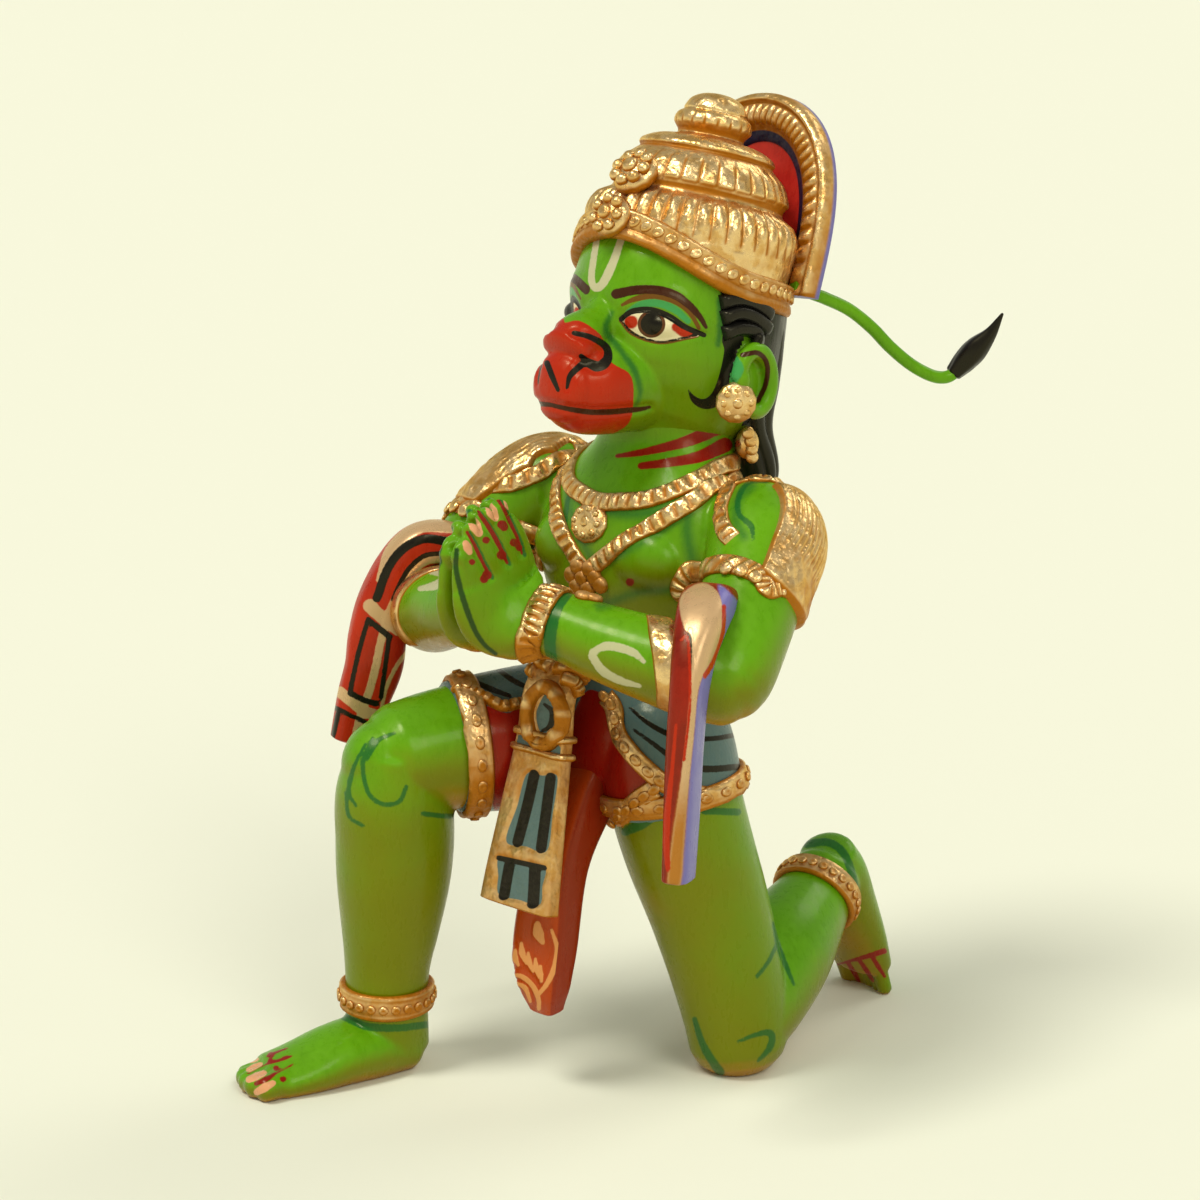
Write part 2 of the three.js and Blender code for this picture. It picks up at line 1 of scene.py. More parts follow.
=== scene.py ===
"""Painted finish and fine carving of a kneeling hanuman figure with joined palms.

Every form is worked out in pose units, 290 of which are the figure's height, and put
into metres at the end. The figure looks along -Y and its left side is +X.
"""
import logging
import math
from dataclasses import dataclass, field
from enum import Enum
from typing import Callable, Sequence

import bpy
import numpy as np
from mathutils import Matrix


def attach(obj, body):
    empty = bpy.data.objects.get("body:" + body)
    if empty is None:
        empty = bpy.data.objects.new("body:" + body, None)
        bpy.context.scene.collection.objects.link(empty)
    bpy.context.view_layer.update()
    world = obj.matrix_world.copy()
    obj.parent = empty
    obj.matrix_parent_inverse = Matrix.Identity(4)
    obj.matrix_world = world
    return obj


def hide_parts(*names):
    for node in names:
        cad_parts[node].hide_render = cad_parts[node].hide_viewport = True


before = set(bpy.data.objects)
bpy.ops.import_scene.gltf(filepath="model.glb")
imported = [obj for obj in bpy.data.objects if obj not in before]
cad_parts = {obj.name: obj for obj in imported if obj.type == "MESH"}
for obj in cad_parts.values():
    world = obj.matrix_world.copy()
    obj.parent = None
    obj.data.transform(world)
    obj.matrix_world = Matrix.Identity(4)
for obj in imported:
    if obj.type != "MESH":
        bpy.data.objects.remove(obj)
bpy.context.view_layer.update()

Array = np.ndarray
Track = Sequence[Sequence[float]]

log = logging.getLogger("hanuman")

HEIGHT = 0.3
UNITS = 290.0
UNIT = HEIGHT / UNITS
# Where the pose's own origin lies in the part's frame, in metres
ORIGIN = np.array([0.000716, 0.003777, -0.0012])
GROUND = -ORIGIN[2] / UNIT
TURN = 2.0 * math.pi
FAR = 99.0


class Side(Enum):
    """The two sides of the figure, by the sign of X."""

    LEFT = 1.0
    RIGHT = -1.0


def to_metres(points: Array) -> Array:
    """Pose units put into the part's frame, in metres."""
    return np.asarray(points, float) * UNIT + ORIGIN


def spline(knots: Track, t: Array, closed: bool = False, slope: bool = False) -> Array:
    """A smooth line through knots: on each span the Catmull-Rom cubic of its four nearest knots.

    Args:
        knots: the points that the line passes, each of any number of values.
        t: places from 0, the first knot, to 1, the last one.
        closed: whether the line returns to its first knot.
        slope: whether the line's slope is asked for and not its points.

    Returns:
        An array of the shape of t with one more axis, for the values.
    """
    knots = np.asarray(knots, float)
    count = len(knots)
    t = np.asarray(t, float)
    if closed:
        line = np.vstack([knots[-1], knots, knots[0], knots[1]])
        spans = count
        run = np.mod(t, 1.0) * spans
    else:
        line = np.vstack([2 * knots[0] - knots[1], knots, 2 * knots[-1] - knots[-2]])
        spans = count - 1
        run = np.clip(t, 0.0, 1.0) * spans
    index = np.minimum(np.floor(run).astype(int), spans - 1)
    w = (run - index)[..., None]
    a, b, c, d = (line[index + k] for k in range(4))
    square, cube = 2 * a - 5 * b + 4 * c - d, 3 * b - a - 3 * c + d
    if slope:
        return 0.5 * ((c - a) + 2 * square * w + 3 * cube * w * w)
    return 0.5 * (2 * b + (c - a) * w + square * w * w + cube * w ** 3)


def unit(vectors: Array) -> Array:
    """The vectors with a length of 1."""
    return vectors / np.maximum(np.linalg.norm(vectors, axis=-1, keepdims=True), 1e-9)


def smooth(value: Array, low: float, high: float) -> Array:
    """From 0 at low to 1 at high with soft ends: 3 w^2 - 2 w^3 of the share w."""
    w = np.clip((value - low) / (high - low), 0.0, 1.0)
    return w * w * (3 - 2 * w)


@dataclass
class Shape:
    """The corners and faces of a surface in pose units, with named numbers for each corner."""

    points: Array
    quads: Array = field(default_factory=lambda: np.zeros((0, 4), int))
    tris: Array = field(default_factory=lambda: np.zeros((0, 3), int))
    marks: dict[str, Array] = field(default_factory=dict)

    @staticmethod
    def joined(shapes: Sequence["Shape"]) -> "Shape":
        """One shape of several, with 0 where one lacks a mark that another has.

        Args:
            shapes: the shapes, whose order is kept.

        Returns:
            The whole.
        """
        starts = np.cumsum([0] + [len(s.points) for s in shapes])
        names = {name for s in shapes for name in s.marks}
        return Shape(
            np.concatenate([s.points for s in shapes]),
            np.concatenate([s.quads + at for s, at in zip(shapes, starts)]),
            np.concatenate([s.tris + at for s, at in zip(shapes, starts)]),
            {n: np.concatenate([s.marks.get(n, np.zeros(len(s.points))) for s in shapes])
             for n in sorted(names)},
        )

    def mirrored(self) -> "Shape":
        """The shape's mirror image across the figure's middle plane."""
        return Shape(self.points * (-1, 1, 1), self.quads[:, ::-1], self.tris[:, ::-1],
                     dict(self.marks))

    def outward(self) -> "Shape":
        """The shape with its faces turned out: its volume, a sum of cones to the origin, is positive.

        Returns:
            The shape itself.
        """
        p, q, t = self.points, self.quads, self.tris
        cones = np.concatenate([t, q[:, [0, 1, 2]], q[:, [0, 2, 3]]])
        a, b, c = (p[cones[:, k]] for k in range(3))
        if np.einsum("ij,ij->", a, np.cross(b, c)) < 0:
            self.quads, self.tris = q[:, ::-1], t[:, ::-1]
        return self

    def normals(self) -> Array:
        """Unit normals at the corners: the mean of the faces' cross products around each.

        Returns:
            One unit vector for each corner.
        """
        total = np.zeros_like(self.points)
        for faces in (self.quads, self.tris):
            if len(faces):
                p = self.points[faces]
                cross = np.cross(p[:, 2] - p[:, 0], p[:, -1] - p[:, 1]) if faces.shape[1] == 4 \
                    else np.cross(p[:, 1] - p[:, 0], p[:, 2] - p[:, 0])
                for k in range(faces.shape[1]):
                    for axis in range(3):
                        total[:, axis] += np.bincount(
                            faces[:, k], cross[:, axis], minlength=len(self.points))
        return unit(total)

    def relaxed(self, rounds: int, pull: float = 0.5, push: float = -0.52) -> "Shape":
        """Creases eased: each corner moves by pull, then by push, towards its neighbours' mean.

        Args:
            rounds: how often both moves are made.
            pull: share of the way towards the mean.
            push: share of the way back, a little more than the pull.

        Returns:
            The shape itself.
        """
        sides = np.concatenate([self.quads[:, [k, (k + 1) % 4]] for k in range(4)])
        sides = np.unique(np.sort(sides, axis=1), axis=0)
        ends = np.concatenate([sides, sides[:, ::-1]])
        count = np.bincount(ends[:, 0], minlength=len(self.points))[:, None]
        for step in (pull, push) * rounds:
            total = np.stack([np.bincount(ends[:, 0], self.points[ends[:, 1], axis],
                                          minlength=len(self.points)) for axis in range(3)], axis=1)
            self.points = self.points + step * (total / np.maximum(count, 1) - self.points)
        return self


def lattice(grid: Array, wrap: bool = True, poles: bool = True, **marks: Array) -> Shape:
    """A surface on a grid of rows and columns.

    Args:
        grid: points, as rows by columns by 3.
        wrap: whether the last column joins the first.
        poles: whether the first and the last row are closed by a fan to their middle.
        marks: numbers for each point of the grid, by name.

    Returns:
        The surface, with its faces turned out if it is closed.
    """
    rows, columns, _ = grid.shape
    number = np.arange(rows * columns).reshape(rows, columns)
    right = np.roll(number, -1, axis=1) if wrap else number[:, 1:]
    left = number if wrap else number[:, :-1]
    quads = np.stack([left[:-1], right[:-1], right[1:], left[1:]], axis=-1).reshape(-1, 4)
    points = grid.reshape(-1, 3)
    values = {name: np.broadcast_to(v, (rows, columns)).reshape(-1) for name, v in marks.items()}
    tris = np.zeros((0, 3), int)
    if poles and wrap:
        first, last = len(points), len(points) + 1
        points = np.vstack([points, grid[0].mean(0), grid[-1].mean(0)])
        fan = [np.stack([right[0], left[0], np.full(columns, first)], axis=-1),
               np.stack([left[-1], right[-1], np.full(columns, last)], axis=-1)]
        tris = np.concatenate(fan)
        values = {name: np.append(v, [v[0], v[-1]]) for name, v in values.items()}
    return Shape(points, quads, tris, values).outward()


@dataclass(frozen=True)
class Tube:
    """An oval section carried along a smooth line through stations (x, y, z, half width, half depth)."""

    stations: Track
    side: tuple[float, float, float] = (1.0, 0.0, 0.0)
    power: float = 2.0

    def frame(self, t: Array) -> tuple[Array, Array, Array]:
        """The directions along, across and out of the front of the tube at t.

        Args:
            t: places along the tube.

        Returns:
            Three arrays of unit vectors: along, across and front.
        """
        along = unit(spline(self.stations, t, slope=True)[..., :3])
        side = np.asarray(self.side, float)
        side = side / np.linalg.norm(side)
        across = unit(side - along * (along @ side)[..., None])
        return along, across, np.cross(along, across)

    def point(self, angle: Array, t: Array, rise: Array = 0.0, grow: Array = 1.0,
              slide: Array = 0.0) -> Array:
        """Points of the skin: |x / wide|^power + |y / deep|^power = 1 round each station.

        Args:
            angle: place round the section, in radians.
            t: place along the tube, from 0 to 1.
            rise: how far the point stands off the skin.
            grow: share of the section's size.
            slide: how far the point is moved along the tube.

        Returns:
            The points, of the shape that the arguments broadcast to, by 3.
        """
        angle, t, rise, grow, slide = np.broadcast_arrays(angle, t, rise, grow, slide)
        station = spline(self.stations, t)
        along, across, front = self.frame(t)
        cos, sin = np.cos(angle), np.sin(angle)
        reach = (np.abs(cos) ** self.power + np.abs(sin) ** self.power) ** (-1.0 / self.power)
        wide = cos * reach * (station[..., 3] * grow + rise)
        deep = sin * reach * (station[..., 4] * grow + rise)
        return (station[..., :3] + along * slide[..., None]
                + across * wide[..., None] + front * deep[..., None])

    def part(self, start: float, end: float, count: int = 9) -> "Tube":
        """The stretch of the tube between two places along it, as a tube of its own."""
        return Tube(spline(self.stations, np.linspace(start, end, count)), self.side, self.power)

    def skin(self, around: int, along: int, start: float = 1.0, end: float = 1.0,
             relief: Callable[[Array, Array], Array] | None = None, rise: float = 0.0) -> Shape:
        """The closed solid of the tube, with a dome at each end.

        Args:
            around: columns round the section.
            along: rows between the ends.
            start: length of the dome at the first station.
            end: length of the dome at the last station.
            relief: height of the carving at an angle and a place along.
            rise: how far the whole skin stands off the stations' own.

        Returns:
            The solid's surface.
        """
        dome = np.linspace(0.12, 0.98, 5) * math.pi / 2
        t = np.concatenate([np.zeros(5), np.linspace(0, 1, along + 1), np.ones(5)])[:, None]
        grow = np.concatenate([np.cos(dome[::-1]), np.ones(along + 1), np.cos(dome)])[:, None]
        slide = np.concatenate([-start * np.sin(dome[::-1]), np.zeros(along + 1),
                                end * np.sin(dome)])[:, None]
        angle = (np.arange(around) / around * TURN)[None, :]
        high = rise + (relief(angle, t) if relief else 0.0)
        return lattice(self.point(angle, t, high * grow, grow, slide))


def place_on(points: Array, skin: Shape, reach: float = 9.0) -> tuple[Array, Array]:
    """Points moved on to a skin: each is put on the plane of the skin's nearest corner.

    Args:
        points: points near the skin, of any shape by 3.
        skin: the surface.
        reach: how far round the points the skin is searched.

    Returns:
        The moved points and the skin's normals there.
    """
    flat = points.reshape(-1, 3)
    near = np.all((skin.points > flat.min(0) - reach) & (skin.points < flat.max(0) + reach), axis=1)
    corners, normals = skin.points[near], skin.normals()[near]
    found, up = np.empty_like(flat), np.empty_like(flat)
    for part in np.array_split(np.arange(len(flat)), max(1, len(flat) * len(corners) // 4_000_000)):
        gap = ((flat[part, None, :] - corners[None]) ** 2).sum(-1)
        best = gap.argmin(1)
        up[part] = normals[best]
        off = np.einsum("ij,ij->i", corners[best] - flat[part], up[part])
        found[part] = flat[part] + up[part] * off[:, None]
    return found.reshape(points.shape), up.reshape(points.shape)


def stroke(points: Array, track: Track, wide: float | Sequence[float], closed: bool = False) -> Array:
    """Distance of each point to a smooth line through the track, less half the line's width there.

    Args:
        points: the points, by 3 or by 2 values.
        track: the line's own points.
        wide: the line's width, or its widths at even steps along.
        closed: whether the line returns to its start.

    Returns:
        One signed distance for each point, below 0 on the line.
    """
    t = np.linspace(0, 1, 6 * len(track) + 1)
    line = spline(track, t, closed)
    wide = np.atleast_1d(np.asarray(wide, float))
    half = np.interp(t, np.linspace(0, 1, len(wide)), wide / 2) if len(wide) > 1 \
        else np.full(len(t), wide[0] / 2)
    out = np.full(len(points), FAR)
    near = np.all((points > line.min(0) - 16) & (points < line.max(0) + 16), axis=1)
    p = points[near]
    best = np.full(len(p), FAR)
    for k in range(len(line) - 1):
        run = line[k + 1] - line[k]
        w = np.clip((p - line[k]) @ run / max(run @ run, 1e-9), 0, 1)
        gap = np.linalg.norm(p - line[k] - w[:, None] * run, axis=1)
        best = np.minimum(best, gap - (half[k] + w * (half[k + 1] - half[k])))
    out[near] = best
    return out


def area(points: Array, outline: Track) -> Array:
    """Signed distance of flat points to a closed outline, below 0 inside it.

    Args:
        points: points of 2 values.
        outline: points of the outline, which runs smoothly through them.

    Returns:
        One distance for each point: to the nearest side, with the sign of an even-odd count.
    """
    line = spline(outline, np.linspace(0, 1, 6 * len(outline) + 1), True)
    gap = np.full(len(points), FAR)
    inside = np.zeros(len(points), bool)
    for a, b in zip(line[:-1], line[1:]):
        run = b - a
        w = np.clip((points - a) @ run / max(run @ run, 1e-9), 0, 1)
        gap = np.minimum(gap, np.linalg.norm(points - a - w[:, None] * run, axis=1))
        crosses = (a[1] > points[:, 1]) != (b[1] > points[:, 1])
        level = a[0] + (points[:, 1] - a[1]) * run[0] / (run[1] if abs(run[1]) > 1e-9 else 1e-9)
        inside ^= crosses & (points[:, 0] < level)
    return np.where(inside, -gap, gap)


def carve(skin: Shape, gap: Array, wide: float, depth: float) -> None:
    """Sinks a skin along a line by depth exp(-(distance / wide)^2), or raises it where depth is below 0.

    Args:
        skin: the surface that is carved.
        gap: each corner's distance to the line, which counts as 0 on the line.
        wide: how far the groove's sides reach.
        depth: the groove's depth.
    """
    fall = np.exp(-(np.maximum(gap, 0) / wide) ** 2)
    skin.points = skin.points - skin.normals() * (depth * fall)[:, None]


@dataclass(frozen=True)
class Sight:
    """The photograph's line of sight, by which marks drawn at its pixels find their place."""

    azimuth: float = 45.5
    elevation: float = 13.12
    distance: float = 1060.0
    aim: tuple[float, float, float] = (-8.59, -8.4, 143.38)
    lens: float = 107.47
    film: float = 36.0
    picture: int = 1200

    def axes(self) -> tuple[Array, Array, Array]:
        """Directions from the aim point to the camera, to the right and up.

        Returns:
            Three unit vectors.
        """
        a, e = math.radians(self.azimuth), math.radians(self.elevation)
        back = np.array([math.sin(a) * math.cos(e), -math.cos(a) * math.cos(e), math.sin(e)])
        right = np.array([math.cos(a), math.sin(a), 0.0])
        return back, right, np.cross(back, right)

    def eye(self) -> Array:
        """The camera's place in pose units."""
        return np.array(self.aim) + self.axes()[0] * self.distance

    def pixels(self, points: Array) -> tuple[Array, Array]:
        """Pixel of each point, by its share of the depth, and the depth itself.

        Args:
            points: points in pose units.

        Returns:
            The pixels and the depths.
        """
        back, right, up = self.axes()
        run = points - self.eye()
        depth = -(run @ back)
        focus = self.lens / self.film * self.picture
        middle = self.picture / 2
        flat = np.stack([middle + focus * (run @ right) / depth, middle - focus * (run @ up) / depth],
                        axis=-1)
        return flat, depth

    def scale(self) -> float:
        """Pixels to the pose unit at the figure."""
        return self.lens / self.film * self.picture / self.distance

    def cast(self, track: Track, skin: Shape, reach: float = 5.0) -> Array:
        """The skin's nearest corner behind each pixel of a track.

        Args:
            track: pixels of the photograph.
            skin: the surface that is hit.
            reach: how many pixels off a corner may lie.

        Returns:
            One point of the skin for each pixel.
        """
        flat, depth = self.pixels(skin.points)
        found = []
        for pixel in np.asarray(track, float):
            gap = np.linalg.norm(flat - pixel, axis=1)
            near = gap < max(reach, gap.min() + 0.5)
            front = depth[near].min()
            cost = np.where(near, gap + 2.0 * np.maximum(depth - front - 4.0, 0), FAR * FAR)
            found.append(skin.points[cost.argmin()])
        return np.array(found)

    def shown(self, skin: Shape, mirrored: bool) -> tuple[Array, Array]:
        """Pixels of a skin's corners and how squarely they face the camera.

        Args:
            skin: the surface.
            mirrored: whether the right side is looked at as if it were the left.

        Returns:
            The pixels, and the cosine between each normal and the line of sight.
        """
        sign = np.where(skin.points[:, :1] < 0, -1.0, 1.0) if mirrored else 1.0
        flip = np.concatenate([np.ones_like(skin.points[:, :1]) * sign,
                               np.ones_like(skin.points[:, 1:])], axis=1)
        points, normals = skin.points * flip, skin.normals() * flip
        return self.pixels(points)[0], np.einsum("ij,ij->i", normals, unit(self.eye() - points))

    def drawn(self, skin: Shape, strokes: Sequence[tuple], mirrored: bool = False) -> Array:
        """Signed distance of a skin's corners to strokes and areas drawn in the photograph's frame.

        Args:
            skin: the surface.
            strokes: each a track of pixels with its width or widths, or with None for an area.
            mirrored: whether the right side takes the same marks as the left.

        Returns:
            The least distance in pose units, and a far one where the skin faces away.
        """
        flat, facing = self.shown(skin, mirrored)
        gap = np.full(len(flat), FAR)
        for track, wide in strokes:
            one = area(flat, track) if wide is None else stroke(flat, track, wide)
            gap = np.minimum(gap, one)
        return gap / self.scale() + FAR * (1 - smooth(facing, 0.0, 0.06))


SIGHT = Sight()


@dataclass(frozen=True)
class Band:
    """A raised band of gold: its width, its height and the notches or beads along it."""

    wide: float
    high: float
    notches: int = 0
    depth: float = 0.6
    slant: float = 0.0
    sharp: float = 3.0
    edge: float = 0.0
    sink: float = 1.6
    span: float = 0.82

    def along(self, track: Track, skin: Shape, closed: bool = False, reach: float = 9.0) -> Shape:
        """The band laid on a skin along a track, as a profile carried along a path.

        The height over the skin is high (1 - s^4) at the share s of half the width, less
        depth times a power of the cosine along the track, and plus edge near both borders.

        Args:
            track: points near the skin.
            skin: the surface below the band.
            closed: whether the band returns to its start.
            reach: how far round the track the skin is searched.

        Returns:
            The band as a closed surface, with the mark deep for its recesses.
        """
        rows = max(24, self.notches * 8 if self.notches else 60)
        t = np.arange(rows) / rows if closed else np.linspace(0, 1, rows + 1)
        centre, up = place_on(spline(track, t, closed), skin, reach)
        if closed:
            heading = unit(np.roll(centre, -1, 0) - np.roll(centre, 1, 0))
        else:
            heading = unit(np.gradient(centre, axis=0))
        across = unit(np.cross(heading, up))
        s = np.linspace(-1, 1, 11)
        feet = centre[:, None] + across[:, None] * (s * self.wide / 2)[None, :, None]
        feet, lift = place_on(feet, skin, reach)
        wave = 0.5 - 0.5 * np.cos(TURN * (self.notches * t[:, None] + self.slant * s[None, :]))
        notch = wave ** self.sharp if self.notches else np.zeros((len(t), len(s)))
        notch = notch * (1 - smooth(np.abs(s), self.span, self.span + 0.13))[None, :]
        border = self.edge * smooth(np.abs(s), 0.6, 0.75)[None, :]
        ends = 1.0 if closed else (1 - (2 * t - 1) ** 16)[:, None]
        height = (self.high * (1 - np.abs(s) ** 4)[None, :] + border - self.depth * notch) * ends
        top = feet + lift * height[..., None]
        below = centre[:, None] - up[:, None] * self.sink \
            + across[:, None] * (s[::-1][2:-2:3] * self.wide / 2)[None, :, None]
        deep = np.concatenate([np.maximum(notch, smooth(np.abs(s), 0.86, 1.0)[None, :]),
                               np.ones((len(t), below.shape[1]))], axis=1)
        grid = np.concatenate([top, below], axis=1)
        if closed:
            grid, deep = np.vstack([grid, grid[:1]]), np.vstack([deep, deep[:1]])
            shape = lattice(grid, poles=False, deep=deep)
            return shape
        return lattice(grid, deep=deep)


def beads(centres: Array, ups: Array, size: float | Array, flat: float = 0.7, ring: float = 0.0,
          headings: Array | None = None, long: float = 1.0) -> Shape:
    """Small domes set on a surface, each an eight by six grid on a half ball.

    Args:
        centres: where the beads sit.
        ups: the surface's normals there.
        size: the beads' radius.
        flat: height as a share of the radius.
        ring: depth of the hollow in the top, as a share of the height.
        headings: direction of the beads' long axis.
        long: length over width.

    Returns:
        All beads as one surface, with the mark deep for the hollows.
    """
    polar = np.linspace(0.06, 1.0, 6)[:, None] * 0.62 * math.pi
    turn = (np.arange(12) / 12 * TURN)[None, :]
    hollow = ring * np.exp(-(polar / 0.62) ** 2)
    local = np.stack([np.sin(polar) * np.cos(turn) * long, np.sin(polar) * np.sin(turn),
                      np.broadcast_to(np.cos(polar) - hollow, (6, 12)) * flat], axis=-1)
    size = np.broadcast_to(size, len(centres))
    if headings is None:
        headings = np.cross(ups, np.array([0.31, 0.2, 0.93]))
    first = unit(headings - ups * np.einsum("ij,ij->i", headings, ups)[:, None])
    second = np.cross(ups, first)
    made = []
    for centre, up, a, b, r in zip(centres, ups, first, second, size):
        grid = centre + r * (local[..., :1] * a + local[..., 1:2] * b + local[..., 2:] * up)
        made.append(lattice(grid, deep=np.broadcast_to(
            np.maximum(smooth(polar, 1.2, 1.9), hollow * 0.8), (6, 12))))
    return Shape.joined(made)


def beads_on(track: Track, skin: Shape, count: int, size: float, closed: bool = True,
             **form: float) -> Shape:
    """Beads at even steps along a track laid on a skin, long side along the track.

    Args:
        track: points near the skin.
        skin: the surface below the beads.
        count: how many beads there are.
        size: the beads' radius.
        closed: whether the track returns to its start.
        form: the beads' further sizes, with lift for their height over the skin.

    Returns:
        All beads as one surface.
    """
    t = np.arange(count) / count if closed else np.linspace(0.02, 0.98, count)
    line = spline(track, t, closed)
    heading = unit(spline(track, t, closed, slope=True))
    centre, up = place_on(line, skin)
    if form.pop("cross", False):
        heading = np.cross(heading, up)
    lift = form.pop("lift", 0.0)
    return beads(centre + up * lift, up, size, headings=heading, **form)


def to_object(name: str, shape: Shape) -> bpy.types.Object:
    """A mesh object of a shape, in metres at the origin, with the shape's marks as attributes.

    Args:
        name: the object's name.
        shape: the surface in pose units.

    Returns:
        The new object, shaded smooth.
    """
    mesh = bpy.data.meshes.new(name)
    faces = shape.quads.tolist() + shape.tris.tolist()
    # How far each corner faces down; the gold turns orange there as painted bounce light
    shape.marks["under"] = smooth(-shape.normals()[:, 2], -0.35, 0.8)
    mesh.from_pydata(to_metres(shape.points), [], faces)
    for mark, values in shape.marks.items():
        layer = mesh.attributes.new(mark, "FLOAT", "POINT")
        layer.data.foreach_set("value", np.ascontiguousarray(values, dtype=np.float32))
    mesh.shade_smooth()
    mesh.update()
    piece = bpy.data.objects.new(name, mesh)
    bpy.context.scene.collection.objects.link(piece)
    return piece


def fused(shapes: Sequence[Shape], grain: float, rounds: int) -> Shape:
    """Overlapping solids joined to one skin by a voxel remesh, with its creases eased.

    Args:
        shapes: closed solids that overlap.
        grain: size of the voxels in pose units.
        rounds: how often the skin is eased.

    Returns:
        The skin of the whole.
    """
    whole = Shape.joined(shapes)
    mesh = bpy.data.meshes.new("fusing")
    mesh.from_pydata(whole.points, [], whole.quads.tolist() + whole.tris.tolist())
    piece = bpy.data.objects.new("fusing", mesh)
    bpy.context.scene.collection.objects.link(piece)
    remesh = piece.modifiers.new("voxels", "REMESH")
    remesh.mode = "VOXEL"
    remesh.voxel_size = grain
    remesh.use_smooth_shade = True
    result = piece.evaluated_get(bpy.context.evaluated_depsgraph_get()).to_mesh()
    points = np.empty(len(result.vertices) * 3)
    result.vertices.foreach_get("co", points)
    corners = np.empty(len(result.loops), np.int32)
    result.loops.foreach_get("vertex_index", corners)
    skin = Shape(points.reshape(-1, 3), corners.reshape(-1, 4).astype(int))
    bpy.data.objects.remove(piece)
    bpy.data.meshes.remove(mesh)
    return skin.relaxed(rounds)


def levelled(shape: Shape) -> Shape:
    """The shape with what lies under the floor pressed up to it."""
    shape.points[:, 2] = np.maximum(shape.points[:, 2], GROUND)
    return shape


class Nodes:
    """A material's node tree, with short ways to add and link the nodes used here."""

    def __init__(self, name: str) -> None:
        """Makes the material with its plain shader."""
        self.material = bpy.data.materials.new(name)
        self.material.use_nodes = True
        self.tree = self.material.node_tree
        self.shader = self.tree.nodes["Principled BSDF"]
        self.place = self.tree.nodes.new("ShaderNodeTexCoord").outputs["Object"]

    def link(self, source: bpy.types.NodeSocket, target: bpy.types.NodeSocket) -> None:
        """Links one socket to another."""
        self.tree.links.new(source, target)

    def put(self, value: object, target: bpy.types.NodeSocket) -> None:
        """Sets a socket to a plain value, or links another socket to it.

        Args:
            value: a number, a colour or a socket.
            target: the socket that takes it.
        """
        if isinstance(value, bpy.types.NodeSocket):
            self.link(value, target)
        elif isinstance(value, (tuple, list)) and len(value) == 3:
            target.default_value = (*value, 1.0)
        else:
            target.default_value = value

    def mark(self, name: str) -> bpy.types.NodeSocket:
        """The piece's own number of that name at each point.

        Args:
            name: the attribute's name.

        Returns:
            The socket with the number.
        """
        node = self.tree.nodes.new("ShaderNodeAttribute")
        node.attribute_name = name
        return node.outputs["Fac"]

    def noise(self, scale: float, detail: float = 3.0, stretch: tuple = (1.0, 1.0, 1.0),
              rough: float = 0.55) -> bpy.types.NodeSocket:
        """Cloudy noise over the object's own coordinates, scale waves to the metre.

        Args:
            scale: waves to the metre.
            detail: how many finer waves are added.
            stretch: factors on the coordinates.
            rough: share of each finer wave.

        Returns:
            The socket with the noise.
        """
        mapping = self.tree.nodes.new("ShaderNodeMapping")
        mapping.inputs["Scale"].default_value = stretch
        self.link(self.place, mapping.inputs["Vector"])
        node = self.tree.nodes.new("ShaderNodeTexNoise")
        self.link(mapping.outputs["Vector"], node.inputs["Vector"])
        node.inputs["Scale"].default_value = scale
        node.inputs["Detail"].default_value = detail
        node.inputs["Roughness"].default_value = rough
        return node.outputs["Fac"]

    def cells(self, scale: float) -> bpy.types.NodeSocket:
        """Distance to the nearest of many scattered points, scale of them to the metre.

        Args:
            scale: points to the metre.

        Returns:
            The socket with the distance.
        """
        node = self.tree.nodes.new("ShaderNodeTexVoronoi")
        self.link(self.place, node.inputs["Vector"])
        node.inputs["Scale"].default_value = scale
        return node.outputs["Distance"]

    def math(self, what: str, first: object, second: object = 0.0) -> bpy.types.NodeSocket:
        """One arithmetic step on two numbers.

        Args:
            what: the step's name.
            first: a number or a socket.
            second: a number or a socket.

        Returns:
            The socket with the result.
        """
        node = self.tree.nodes.new("ShaderNodeMath")
        node.operation = what
        self.put(first, node.inputs[0])
        self.put(second, node.inputs[1])
        return node.outputs[0]

    def span(self, value: object, low: float, high: float, to_low: float = 0.0,
             to_high: float = 1.0) -> bpy.types.NodeSocket:
        """The value's share of the way from low to high, with soft ends.

        Args:
            value: the number that is placed.
            low: where the share starts.
            high: where the share ends.
            to_low: result at low.
            to_high: result at high.

        Returns:
            The socket with the result.
        """
        node = self.tree.nodes.new("ShaderNodeMapRange")
        node.interpolation_type = "SMOOTHSTEP"
        self.put(value, node.inputs["Value"])
        for name, number in (("From Min", low), ("From Max", high), ("To Min", to_low),
                             ("To Max", to_high)):
            node.inputs[name].default_value = number
        return node.outputs["Result"]

    def mix(self, share: object, first: object, second: object) -> bpy.types.NodeSocket:
        """First colour where share is 0 and second where it is 1.

        Args:
            share: from 0 to 1.
            first: a colour or a socket.
            second: a colour or a socket.

        Returns:
            The socket with the colour.
        """
        node = self.tree.nodes.new("ShaderNodeMix")
        node.data_type = "RGBA"
        self.put(share, node.inputs["Factor"])
        self.put(first, node.inputs["A"])
        self.put(second, node.inputs["B"])
        return node.outputs["Result"]

    def bump(self, height: object, strength: float, reach: float) -> None:
        """Gives the shader a normal tilted by the slope of a height.

        Args:
            height: the height, as a socket.
            strength: share of the tilt that is used.
            reach: height of 1 in metres.
        """
        node = self.tree.nodes.new("ShaderNodeBump")
        node.inputs["Strength"].default_value = strength
        node.inputs["Distance"].default_value = reach
        self.put(height, node.inputs["Height"])
        self.link(node.outputs["Normal"], self.shader.inputs["Normal"])


Colour = tuple[float, float, float]

